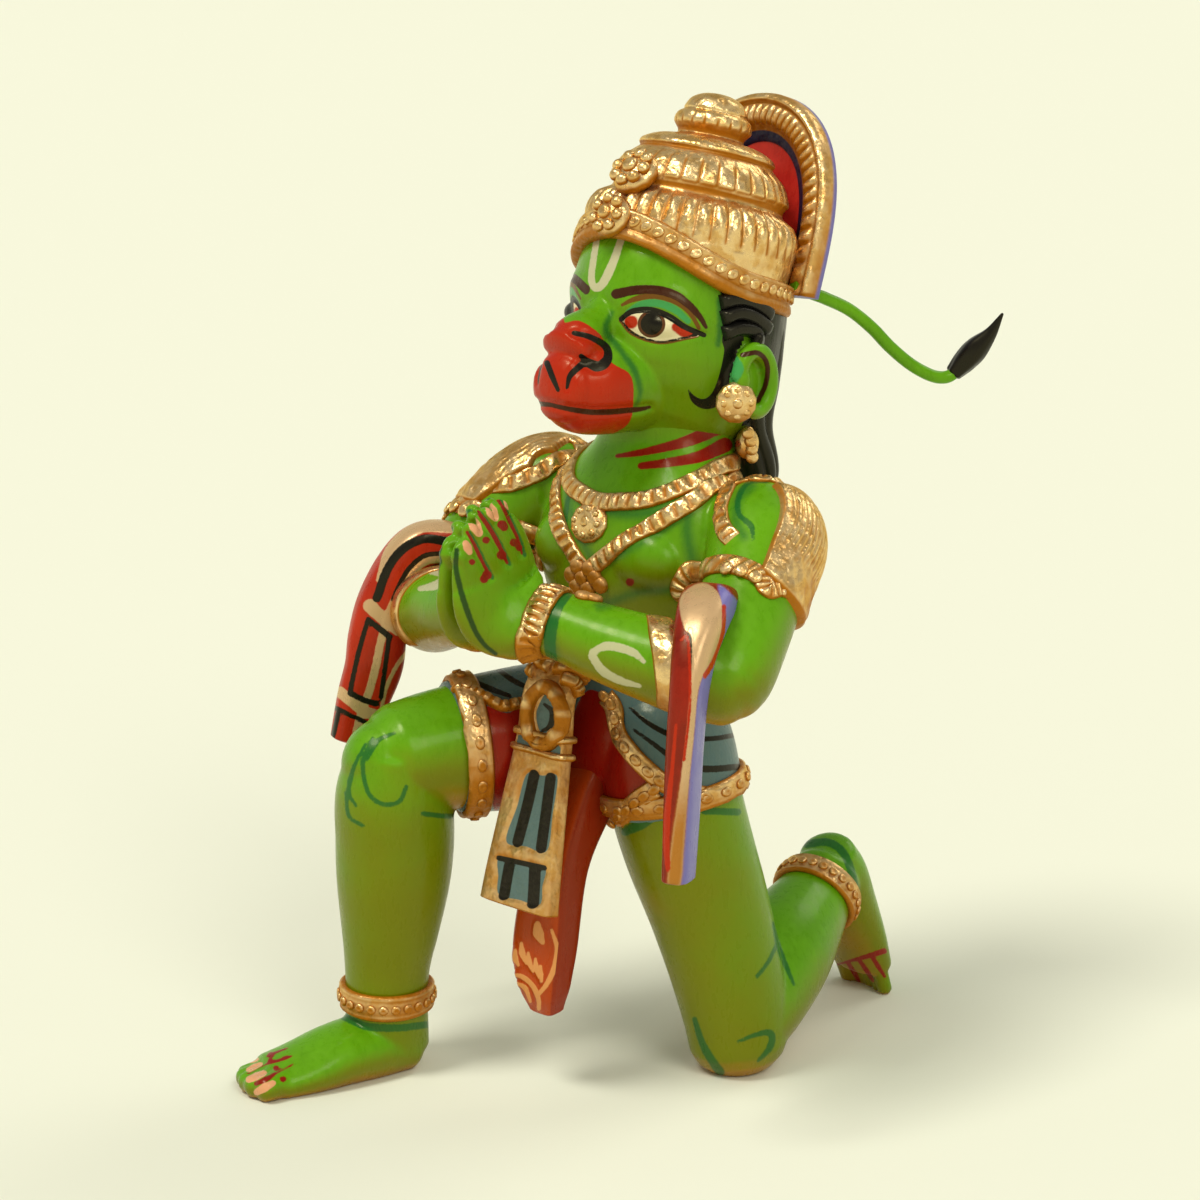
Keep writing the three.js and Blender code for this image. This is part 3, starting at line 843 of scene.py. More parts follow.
LEAF_GREEN: Colour = (0.125, 0.365, 0.004)
DEEP_GREEN: Colour = (0.085, 0.26, 0.003)
# Olive and orange: painted bounce light on the green where it faces down and lies low
BOUNCE_OLIVE: Colour = (0.165, 0.185, 0.001)
BOUNCE_ORANGE: Colour = (0.36, 0.17, 0.006)
SHADOW_TEAL: Colour = (0.002, 0.11, 0.02)
# Painted shade in the crevice where the palms meet
SEAM_SHADE: Colour = (0.003, 0.035, 0.008)
BLACK: Colour = (0.006, 0.005, 0.005)
CREAM: Colour = (0.55, 0.52, 0.30)
NAIL: Colour = (0.76, 0.36, 0.17)
LINE_RED: Colour = (0.25, 0.008, 0.004)
FACE_RED: Colour = (0.45, 0.018, 0.003)
CLOTH_RED: Colour = (0.27, 0.007, 0.003)
PLEAT_RED: Colour = (0.44, 0.05, 0.005)
MOTIF: Colour = (0.72, 0.30, 0.09)
CLOTH_BLUE: Colour = (0.095, 0.155, 0.145)
NAVY: Colour = (0.012, 0.012, 0.05)
LAVENDER: Colour = (0.17, 0.15, 0.42)
GOLD: Colour = (0.86, 0.60, 0.27)
GOLD_MIDDLE: Colour = (0.72, 0.43, 0.14)
GOLD_DEEP: Colour = (0.42, 0.14, 0.004)
PALE_GILT: Colour = (0.62, 0.40, 0.20)
ORANGE_GILT: Colour = (0.42, 0.16, 0.02)
BROW_BROWN: Colour = (0.045, 0.008, 0.003)
LID_TEAL: Colour = (0.05, 0.33, 0.08)
EYE_WHITE: Colour = (0.80, 0.70, 0.42)
LID_RED: Colour = (0.16, 0.012, 0.006)
IRIS_BROWN: Colour = (0.10, 0.03, 0.01)
RECESS_RED: Colour = (0.62, 0.03, 0.02)
RECESS_DARK: Colour = (0.35, 0.01, 0.008)
CLOTH_SHADE: Colour = (0.07, 0.15, 0.16)
PLEAT_DARK: Colour = (0.28, 0.02, 0.004)
NEAR_RED: Colour = (0.30, 0.012, 0.005)
NEAR_DARK: Colour = (0.14, 0.008, 0.004)
FAR_RED: Colour = (0.50, 0.022, 0.006)
FAR_DARK: Colour = (0.34, 0.014, 0.005)
HAIR_BLACK: Colour = (0.012, 0.011, 0.010)
GRIME: Colour = (0.03, 0.03, 0.01)
GLOSS_TINT: Colour = (1.0, 0.90, 0.45)
GOLD_TINT: Colour = (1.0, 0.85, 0.50)


@dataclass(frozen=True)
class Layer:
    """One colour brushed over the ground colour where a mark of the piece is below 0."""

    mark: str
    colour: Colour
    soft: float = 0.16
    wobble: float = 0.35
    strength: float = 1.0
    metal: float = 0.0


@dataclass(frozen=True)
class Enamel:
    """Glossy paint brushed on carved wood: two tones of a ground colour and layers over it."""

    name: str
    light: Colour
    dark: Colour
    layers: tuple[Layer, ...] = ()
    # Whether painted bounce light turns downward faces olive, then orange
    warm: bool = False
    roughness: float = 0.3
    coat: float = 0.08
    gloss: float = 0.25
    patch: float = 38.0
    streaks: tuple[float, float, float] = (1.0, 1.0, 0.35)

    def make(self) -> bpy.types.Material:
        """Builds the material.

        Returns:
            Ground colour of two tones by noise, each layer over it by its mark's soft edge,
            and a bump of brush streaks and of the layers' own thickness.
        """
        n = Nodes(self.name)
        cloud = n.noise(self.patch, 4.0)
        brush = n.noise(420.0, 4.0, self.streaks)
        tone = n.span(n.math("ADD", n.math("MULTIPLY", cloud, 0.7), n.math("MULTIPLY", brush, 0.3)),
                      0.28, 0.62, 0.2, 1.0)
        colour = n.mix(tone, self.dark, self.light)
        # Painted bounce light: olive, then orange, where the piece faces down and lies low
        if self.warm:
            low = n.math("ADD", n.mark("warm"), n.math("MULTIPLY", n.math("SUBTRACT", cloud, 0.5), 0.5))
            colour = n.mix(n.span(low, 0.05, 0.75), colour, BOUNCE_OLIVE)
            colour = n.mix(n.span(low, 0.75, 1.25), colour, BOUNCE_ORANGE)
        edge = n.noise(900.0, 2.0)
        height = n.math("MULTIPLY", brush, 0.5)
        metal = 0.0
        for layer in self.layers:
            jitter = n.math("MULTIPLY", n.math("SUBTRACT", edge, 0.5), layer.wobble)
            gap = n.math("ADD", n.mark(layer.mark), jitter)
            share = n.span(gap, -layer.soft, layer.soft, layer.strength, 0.0)
            colour = n.mix(share, colour, layer.colour)
            height = n.math("ADD", height, n.math("MULTIPLY", share, 0.35))
            if layer.metal or metal:
                bare = n.math("MULTIPLY", metal, n.math("SUBTRACT", 1.0, share)) if metal else 0.0
                metal = n.math("ADD", bare, n.math("MULTIPLY", share, layer.metal))
        grime = n.span(n.cells(330.0), 0.03, 0.10, 0.35, 0.0)
        speck = n.math("MULTIPLY", grime, n.span(n.noise(60.0, 2.0), 0.56, 0.66))
        colour = n.mix(speck, colour, GRIME)
        n.put(colour, n.shader.inputs["Base Color"])
        if metal:
            n.put(metal, n.shader.inputs["Metallic"])
        n.put(n.span(brush, 0.3, 0.7, self.roughness - 0.06, self.roughness + 0.1),
              n.shader.inputs["Roughness"])
        n.shader.inputs["Coat Weight"].default_value = self.coat
        n.shader.inputs["Coat Roughness"].default_value = 0.1
        n.shader.inputs["Specular IOR Level"].default_value = self.gloss
        n.shader.inputs["Specular Tint"].default_value = (*GLOSS_TINT, 1.0)
        n.bump(height, 0.35, 0.0004)
        return n.material


@dataclass(frozen=True)
class GoldLeaf:
    """Gold paint over an orange ground: bright on the ridges, orange and dull in the recesses partly as
    painted shade, and orange on downward faces as painted bounce light.
    """

    name: str
    bright: Colour = GOLD
    ground: Colour = GOLD_DEEP
    dent: float = 0.0008
    # Extra share of the duller orange ground over the whole piece
    ground_share: float = 0.0
    layers: tuple[Layer, ...] = ()

    def make(self) -> bpy.types.Material:
        """Builds the material.

        Returns:
            Metal whose colour and gloss fall off to the ground colour by the mark deep, in the recesses
            partly as painted shade, and by the mark under, on downward faces as painted bounce light, with a
            bump of fine crinkles.
        """
        n = Nodes(self.name)
        fine = n.noise(700.0, 4.0, rough=0.6)
        cloud = n.noise(90.0, 4.0)
        dents = n.noise(210.0, 2.5)
        # Share of the orange ground: the recesses, partly as painted shade, and random clouds
        ground_share = n.math("ADD", n.math("MULTIPLY", n.mark("deep"), 0.85),
                      n.math("MULTIPLY", n.math("SUBTRACT", cloud, 0.5), 0.9))
        # Painted bounce light: more orange ground on the faces that look down
        ground_share = n.math("ADD", ground_share, n.math("MULTIPLY", n.mark("under"), 0.9))
        share = n.span(n.math("ADD", ground_share, self.ground_share), 0.15, 0.95)
        tone = n.mix(n.span(dents, 0.38, 0.56), GOLD_MIDDLE, self.bright)
        colour = n.mix(share, tone, self.ground)
        metal = n.span(share, 0.0, 1.0, 0.92, 0.25)
        for layer in self.layers:
            over = n.span(n.mark(layer.mark), -layer.soft, layer.soft, layer.strength, 0.0)
            colour = n.mix(over, colour, layer.colour)
            metal = n.math("MULTIPLY", metal, n.math("SUBTRACT", 1.0, over))
        n.put(colour, n.shader.inputs["Base Color"])
        n.put(metal, n.shader.inputs["Metallic"])
        n.put(n.math("ADD", n.span(fine, 0.3, 0.7, 0.25, 0.36), n.math("MULTIPLY", share, 0.12)),
              n.shader.inputs["Roughness"])
        n.shader.inputs["Specular IOR Level"].default_value = 0.3
        n.shader.inputs["Specular Tint"].default_value = (*GOLD_TINT, 1.0)
        n.bump(n.math("ADD", n.math("MULTIPLY", fine, 0.35), n.math("MULTIPLY", dents, 3.0)),
               0.42, self.dent)
        return n.material


def dress(piece: bpy.types.Object, material: bpy.types.Material, node: str = "figure") -> None:
    """Gives a piece its material and its body, and hides the node of the part that it stands for.

    Args:
        piece: the mesh object.
        material: its material.
        node: the node of the part that it stands for.
    """
    piece.data.materials.append(material)
    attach(piece, "root")
    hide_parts(node)
    piece.data.calc_loop_triangles()
    log.info("%s: %d triangles", piece.name, len(piece.data.loop_triangles))


# Stations of the pose, shared with the solid that this finish covers
TORSO = Tube((
    (-2, -4, 84, 20, 17), (-2, -3, 94, 29, 22), (-2, -3, 106, 30.5, 24), (-1, -1, 118, 28, 22),
    (0, 1, 130, 27, 20), (0, 1, 143, 33, 22), (0, 2, 156, 38, 24.4), (0, 4, 168, 36, 23),
    (0, 7, 177, 32, 20), (0, 10, 186, 24, 18), (0, 12, 194, 20.5, 19), (0, 13, 204, 21, 19)))
SKULL = Tube((
    (0, 6, 190, 13, 15), (0, 9, 196, 21, 23), (0, 12, 204, 26.5, 28), (0, 14, 213, 29.5, 31.5),
    (0, 15, 222, 30.5, 33), (0, 16, 232, 30.5, 33), (0, 19, 244, 28, 30), (0, 21, 254, 20, 22)))
MUZZLE = Tube((
    (0, -6, 211, 17, 16), (0, -17, 210.5, 16, 15), (0, -26, 210.5, 14.2, 13.6),
    (0, -32, 211, 10.6, 10.4)))
NOSE = Tube((
    (0, -12, 233, 4.4, 5), (0, -18, 228.5, 5.8, 5.6), (0, -24.5, 224.6, 8, 7.4),
    (0, -30.5, 221.6, 8.8, 6.4)))
HAIR = Tube((
    (0, 24, 236, 27, 18), (0, 26, 222, 27.5, 17.5), (0, 27, 207, 25.5, 15.5), (0, 28, 193, 23, 13),
    (0, 30, 180, 24.5, 11), (0, 29, 171, 21, 7)))
ARM_SIDE = (0.0, -1.0, 1.0)
UPPER_ARM = Tube((
    (16, 9, 171, 6, 7), (31, 8, 168.5, 13.4, 14), (42, 7, 167, 16.6, 16.5), (49.5, -3, 159, 15.2, 15.2),
    (56, -15, 148, 14, 14), (60, -25, 138, 13.5, 13.5), (61, -29, 134.5, 12.6, 12.6)), ARM_SIDE)
FAR_UPPER_ARM = Tube((
    (16, 9, 169, 6, 7), (31, 8, 167.6, 12.6, 12.4), (43, 6, 169.6, 16.4, 16), (51, -4, 162, 15.6, 15.6),
    (57, -15, 149, 14, 14), (60, -25, 138, 13.5, 13.5), (61, -29, 134.5, 12.6, 12.6)), ARM_SIDE)
FOREARM = Tube((
    (61, -27, 135, 13, 13), (54, -33, 137, 13, 13.5), (43, -39, 140, 12, 12.5),
    (31, -44, 143, 11, 11.5), (20, -48, 146, 9.8, 10.2), (12, -51, 148, 9.5, 9.5)), (0, 0, 1))
PALM = Tube((
    (13, -50.5, 146, 8.5, 8), (8, -55.5, 148.5, 7, 13), (4.2, -60.6, 154, 4.6, 16.2),
    (3, -61.8, 161, 3.6, 15.8), (2.7, -63.2, 168, 3.3, 14.4), (2.4, -65, 174, 2.8, 12)))
# Root, tip and radius of each finger, from the little finger to the thumb
FINGERS = (
    ((2.8, -71.4, 160), (2.3, -74.6, 168.5), 2.8), ((2.8, -67, 163), (2.3, -70.2, 175), 2.9),
    ((2.8, -61.8, 165.5), (2.3, -64.8, 178.8), 2.9), ((2.7, -56.6, 166), (2.2, -59, 180.2), 2.9),
    ((3.4, -49.4, 156), (2.4, -53, 168), 3.1))
RIGHT_THIGH = Tube((
    (-12, 8, 103, 15, 15), (-17, -2, 101, 19, 20), (-23, -15, 101, 20, 20.5),
    (-30, -33, 100.5, 18.8, 19.6), (-37, -48, 99.5, 17.3, 18), (-41, -58, 98, 16.6, 17)))
RIGHT_SHIN = Tube((
    (-40.5, -60, 101, 14, 15), (-42, -61, 88, 17, 17.5), (-43, -60, 74, 17.3, 18),
    (-44, -60, 60, 16.6, 17.2), (-45, -60.5, 46, 14.6, 15), (-46, -61, 34, 12.8, 13),
    (-46.5, -61, 24, 12.2, 12.4), (-47, -60.5, 14, 11.8, 12.8), (-47, -60, 7, 11.5, 12.5)))
RIGHT_FOOT = Tube((
    (-47, -57, 7, 11.5, 8), (-48, -66, 8.5, 12, 10), (-50, -78, 8.2, 12.2, 9.2),
    (-53, -89, 6.2, 12.4, 7.4), (-56, -98, 4.8, 11.8, 6)))
RIGHT_TOES = (
    ((-49, -97, 5.4), (-49.6, -106.6, 5), 4.6), ((-53.5, -98, 5.2), (-54.2, -107, 4.6), 3.9),
    ((-57.5, -98, 5), (-58.8, -105.6, 4.3), 3.7), ((-61.2, -96, 4.6), (-63, -103.2, 4), 3.5),
    ((-64.4, -94, 4.2), (-66.2, -100, 3.6), 3.2))
LEFT_THIGH = Tube((
    (11, -5, 117, 12, 14), (15.5, -5.5, 106, 18, 18.6), (18, -5, 92, 19.6, 19.6),
    (20.5, -1, 74, 19.2, 19.6), (23.5, 5, 54, 17.8, 18.6), (26, 9.5, 36, 16.6, 17.6),
    (27.5, 13, 20, 15.6, 16.6), (28, 14, 11, 14.8, 15.6)))
LEFT_SHIN = Tube((
    (28, 13, 15, 15, 15), (25.5, 24, 21, 16, 16.4), (22, 38, 29, 16, 17),
    (18.5, 50, 35, 14.4, 15), (15.5, 61, 40.5, 12, 12.4), (13.5, 69, 45.5, 11.2, 11.6)))
LEFT_FOOT = Tube((
    (13, 70, 52.5, 9.4, 8.6), (12, 74.5, 45.5, 11, 9.6), (10.5, 81, 34.5, 11.2, 8.8),
    (8.5, 88, 22.5, 11.8, 7.5), (6.5, 93.5, 12, 12, 6.4)))
LEFT_TOES = (
    ((-1, 94.5, 11.5), (-2, 99, 2.4), 3.8), ((3.6, 95, 11.5), (3, 100, 1.8), 3.1),
    ((7.6, 95, 11.8), (7.4, 99.2, 1.9), 2.9), ((11.4, 94, 12.2), (11.8, 97.6, 2.2), 2.8),
    ((14.8, 92.6, 13), (15.6, 95.4, 3), 2.7))


def digits(list_of: Sequence[tuple]) -> list[Shape]:
    """Fingers or toes, each a short round tube from its root to its tip.

    Args:
        list_of: root, tip and radius of each.

    Returns:
        One closed surface for each.
    """
    made = []
    for root, tip, thick in list_of:
        run = np.subtract(tip, root)
        side = (0, 0, 1) if abs(run[0]) > math.hypot(run[1], run[2]) else (1, 0, 0)
        middle = np.add(root, tip) / 2
        tube = Tube(((*root, thick, thick), (*middle, thick * 0.93, thick * 0.93),
                     (*tip, thick * 0.88, thick * 0.86)), side)
        made.append(tube.skin(20, 8, 0.5, min(thick * 0.8, 2.4)))
    return made


def ball(centre: Sequence[float], sizes: Sequence[float]) -> Shape:
    """An ellipsoid on a grid of its two angles.

    Args:
        centre: the ellipsoid's middle.
        sizes: its three half sizes.

    Returns:
        Its closed surface.
    """
    polar = np.linspace(0.05, math.pi - 0.05, 18)[:, None]
    turn = (np.arange(28) / 28 * TURN)[None, :]
    grid = np.stack([np.sin(polar) * np.cos(turn), np.sin(polar) * np.sin(turn),
                     np.broadcast_to(np.cos(polar), (18, 28))], axis=-1)
    return lattice(np.asarray(centre) + grid * np.asarray(sizes))


def bounce_share(skin: Shape, low: float = 0.62, high: float = -0.55) -> Array:
    """How much painted bounce light a skin takes: more where it looks down, and less high up the figure.

    Args:
        skin: the surface.
        low: height of the normal where the painted bounce light starts.
        high: height of the normal where it is full.

    Returns:
        One number for each corner.
    """
    share = np.clip((low - skin.normals()[:, 2]) / (low - high), 0.0, 1.3)
    return share * (1.0 - 0.25 * smooth(skin.points[:, 2], 90.0, 190.0))


def dot(place: Sequence[float], size: float) -> tuple:
    """A round spot of the given width in pixels, as a stroke hardly longer than wide."""
    x, y = place
    return ((x - 0.4, y), (x, y + 0.3), (x + 0.4, y)), size


PAINTS = ("haze", "teal", "red", "nail", "cream", "seam")


def paint(skin: Shape, mirrored: bool, **strokes: Sequence[tuple]) -> None:
    """Gives a green piece the marks of its painted strokes, far off where it has none, and its share of
    painted bounce light.

    Args:
        skin: the surface.
        mirrored: whether the right side takes the left side's strokes.
        strokes: the strokes by the name of their paint.
    """
    # Painted bounce light on the faces that look down
    skin.marks["warm"] = bounce_share(skin)
    for name in PAINTS:
        mark = SIGHT.drawn(skin, strokes.get(name, ()), mirrored)
        skin.marks[name] = np.minimum(skin.marks.get(name, FAR), mark)


@dataclass
class Trunk:
    """Chest, neck, upper arms and forearms to the wrists."""

    grain: float = 1.0
    skin: Shape | None = None
    teal: tuple = (
        (((567, 592), (557, 606), (551, 625), (550, 648), (553, 662)), (12, 14, 9)),
        (((568, 497), (565, 530), (576, 556), (590, 572)), (4, 8, 6)),
        (((768, 482), (750, 482), (739, 496), (739, 514), (751, 526), (753, 540)), (3, 5, 6, 5, 6, 3)),
        (((470, 612), (462, 630), (470, 650)), 6))
    # Soft shadow paint under the collar, inside the chains and beside the bracelet
    haze: tuple = (
        (((566, 480), (590, 505), (630, 514), (672, 506), (706, 490)), 10),
        (((568, 497), (574, 526), (590, 556)), 8), (((690, 512), (650, 538), (610, 560)), 6),
        (((690, 498), (687, 530), (693, 566)), 10),
        (((752, 486), (738, 500), (736, 520), (744, 536)), 8),
        (((556, 606), (550, 630), (556, 664)), 9), (((600, 606), (640, 592), (672, 590)), 8))
    red: tuple = (
        (((617, 456), (641, 452.5), (674, 445), (698, 437), (720, 426)), (4, 8, 12, 15)),
        (((641, 466), (665, 463), (698, 457), (725, 445)), (7, 10, 15)), dot((630, 582), 8))
    cream: tuple = (
        (((592, 652), (608, 646), (632, 652), (644, 662)), (6, 9, 8, 4)),
        (((592, 656), (604, 672), (624, 682), (640, 686)), (8, 9, 7, 4)),
        (((420, 588.5), (435, 585.6), (444.6, 579.6), (443, 573.6), (430, 571.5)), (5, 9, 10, 9, 5)))

    def build(self) -> Shape:
        """Fuses the limbs of the upper body and eases their creases.

        Returns:
            The skin.
        """
        parts = [
            TORSO.skin(72, 60), UPPER_ARM.skin(44, 40, 3, 9), FAR_UPPER_ARM.skin(44, 40, 3, 9).mirrored(),
            ball((14, -13, 160), (15, 9, 11)), ball((-14, -13, 160), (15, 9, 11)),
        ]
        for side in Side:
            arm = FOREARM.skin(40, 30, 9, 2)
            parts.append(arm if side is Side.LEFT else arm.mirrored())
        self.skin = fused(parts, self.grain, 6)
        return self.skin

    def dress(self, green: bpy.types.Material) -> None:
        """Paints the upper body: shadow lines beside the gold, neck stripes and arm marks."""
        paint(self.skin, False, haze=self.haze, teal=self.teal, red=self.red, cream=self.cream)
        dress(to_object("trunk", self.skin), green)


@dataclass
class Legs:
    """Both legs with their feet."""

    grain: float = 0.92
    skin: Shape | None = None
    teal: tuple = (
        (((395, 733), (380, 739), (372, 750), (367, 760)), (3, 5, 3)),
        (((365.6, 744), (353.6, 768), (348.8, 792), (356, 806)), (3, 5, 3)),
        (((372.8, 739), (363, 763), (368, 792), (382.4, 804), (399, 801.6), (406, 787)), 4.5),
        (((346, 792), (349, 816), (363, 825.6)), 4), (((423, 813.6), (444, 816), (464, 816)), 5),
        (((773, 923), (778, 945), (786, 966), (794, 984.5)), (3, 6, 3)),
        (((776.8, 944.7), (767.5, 963), (757, 976.5)), 4),
        (((694.6, 1019), (701, 1040), (709, 1056), (720, 1072)), (5, 8, 9)),
        (((738, 1041.6), (757, 1034.4), (771, 1033.4), (770, 1047), (758, 1061)), (3, 5, 7, 7, 3)),
        (((807, 844), (828.5, 842.5), (844.5, 854.5), (853.7, 881), (855, 899.6)), 8),
        (((342.5, 1016), (355, 1022), (369, 1026.7), (397, 1028), (431, 1024)), (7, 8, 7)),
        (((625, 832), (644, 822), (664, 806)), (8, 12, 8)), (((704, 811), (738, 812)), 7))
    red: tuple = (
        (((267.5, 1056), (277, 1052), (288, 1048)), (3, 2.5, 1.5)),
        (((266, 1064), (280, 1060), (285, 1058), (292, 1056)), (2.5, 3, 4.5, 1.5)),
        (((256, 1083.6), (266, 1079.4), (277, 1072.5), (294, 1064)), (4.5, 6, 2.5, 1.5)),
        (((247, 1074), (255, 1070), (263, 1065.5)), 1.6),
        dot((270.8, 1055), 6), dot((270.5, 1060.5), 5), dot((276, 1068), 5.5), dot((283, 1079), 6),
        (((833, 968), (838, 977), (843, 985)), (4, 5, 3)), (((848, 963), (855, 974), (860, 984)), (4, 5, 3)),
        (((859, 960), (867, 971), (873, 981)), (4, 5, 3)), (((871, 955), (878, 966), (885, 977)), (4, 5, 3)),
        (((836, 965), (850, 961), (868, 956), (884, 951)), (2, 3, 5, 6)))
    nail: tuple = (
        (((250, 1062), (254, 1060.5), (258, 1059)), (3, 4, 3)),
        (((248.5, 1070), (254, 1067), (261, 1064)), (5, 6, 4)),
        (((249, 1079.5), (256, 1076.5), (264, 1073)), (7, 8, 6)),
        (((257, 1092), (265, 1087.5), (273, 1083)), (7, 9, 6)))

    def build(self) -> Shape:
        """Fuses thighs, shins, feet and toes.

        Returns:
            The skin.
        """
        parts = [
            RIGHT_THIGH.skin(44, 36, 4, 12), RIGHT_SHIN.skin(44, 50, 2, 2),
            RIGHT_FOOT.skin(36, 24, 6, 2), LEFT_THIGH.skin(44, 50, 3, 12),
            LEFT_SHIN.skin(44, 36, 2, 5), LEFT_FOOT.skin(36, 24, 4, 2),
            ball((-42.5, -63.5, 97), (13, 13.5, 14)),
            *digits(RIGHT_TOES), *digits(LEFT_TOES),
        ]
        self.skin = levelled(fused(parts, self.grain, 5))
        return self.skin

    def dress(self, green: bpy.types.Material) -> None:
        """Paints the legs: knee curls, calf and shin lines, toes with their nails."""
        paint(self.skin, False, teal=self.teal, red=self.red, nail=self.nail)
        dress(to_object("legs", self.skin), green)


@dataclass
class Hands:
    """The joined palms."""

    grain: float = 0.6
    skin: Shape | None = None
    # Lines between the fingers and where the palms meet, at the photograph's pixels
    grooves: tuple = (
        (((467, 532), (474.6, 545.6), (481, 559), (490, 577)), (3, 4, 3)),
        (((478, 512), (487, 524.6), (495.6, 539), (503, 554), (507, 563)), (4, 5, 3)),
        (((495, 496), (503, 507.8), (510, 522.5), (517.7, 539), (522, 554)), (3, 4, 2)))
    # Painted shade along the crevice where the palms meet
    seam: tuple = ((((456.8, 550), (455.8, 566.6), (459, 583.4), (465, 604.4), (474.6, 629.6),
                     (484, 644), (495.6, 654)), (5, 6, 4)),)
    nails: tuple = (
        (((465.6, 543), (467.6, 547.5), (469.6, 552)), (6, 9, 6)),
        (((471, 519), (475, 526), (479, 533)), (8, 12, 8)),
        (((489, 506), (492, 512), (495.4, 518)), (8, 11.5, 7)),
        (((507, 498), (510, 504), (514, 510)), (8, 11.5, 7)))
    spots: tuple = (
        ((472, 562), 6), ((486, 540), 7), ((502, 524.6), 9), ((504, 527), 8), ((522, 516), 8),
        ((530.7, 531.5), 6), ((514, 542.5), 8), ((501.5, 555), 9), ((487, 575), 9), ((484, 579), 8),
        ((519, 548), 6))

    def build(self) -> Shape:
        """Fuses one hand, sets its mirror image against it and cuts the lines between the fingers.

        Returns:
            The skin.
        """
        wrist = Tube(((20, -48, 146, 9.6, 10), (12, -51, 148, 9.4, 9.4)), (0, 0, 1))
        hand = [PALM.skin(40, 40, 2, 2.4), wrist.skin(36, 8, 1, 2), *digits(FINGERS)]
        self.skin = fused(hand + [part.mirrored() for part in hand], self.grain, 5)
        carve(self.skin, SIGHT.drawn(self.skin, self.grooves, True), 0.9, 0.7)
        carve(self.skin, SIGHT.drawn(self.skin, self.nails, True), 0.5, -0.15)
        return self.skin

    def dress(self, green: bpy.types.Material) -> None:
        """Paints the finger lines red, the nails pale and the crevice between the palms dark as painted
        shade.

        Args:
            green: the enamel.
        """
        beside = tuple((tuple((x + 2.5, y + 1) for x, y in track), 4) for track, _ in self.grooves)
        paint(self.skin, True, teal=beside, seam=self.seam, nail=self.nails,
              red=(*self.grooves, *(dot(spot, size) for spot, size in self.spots)))
        inside = (self.skin.points[:, 0] < 0) & (self.skin.normals()[:, 0] > -0.5)
        for name in ("red", "nail"):
            self.skin.marks[name] = np.where(inside, FAR, self.skin.marks[name])
        dress(to_object("hands", self.skin), green)


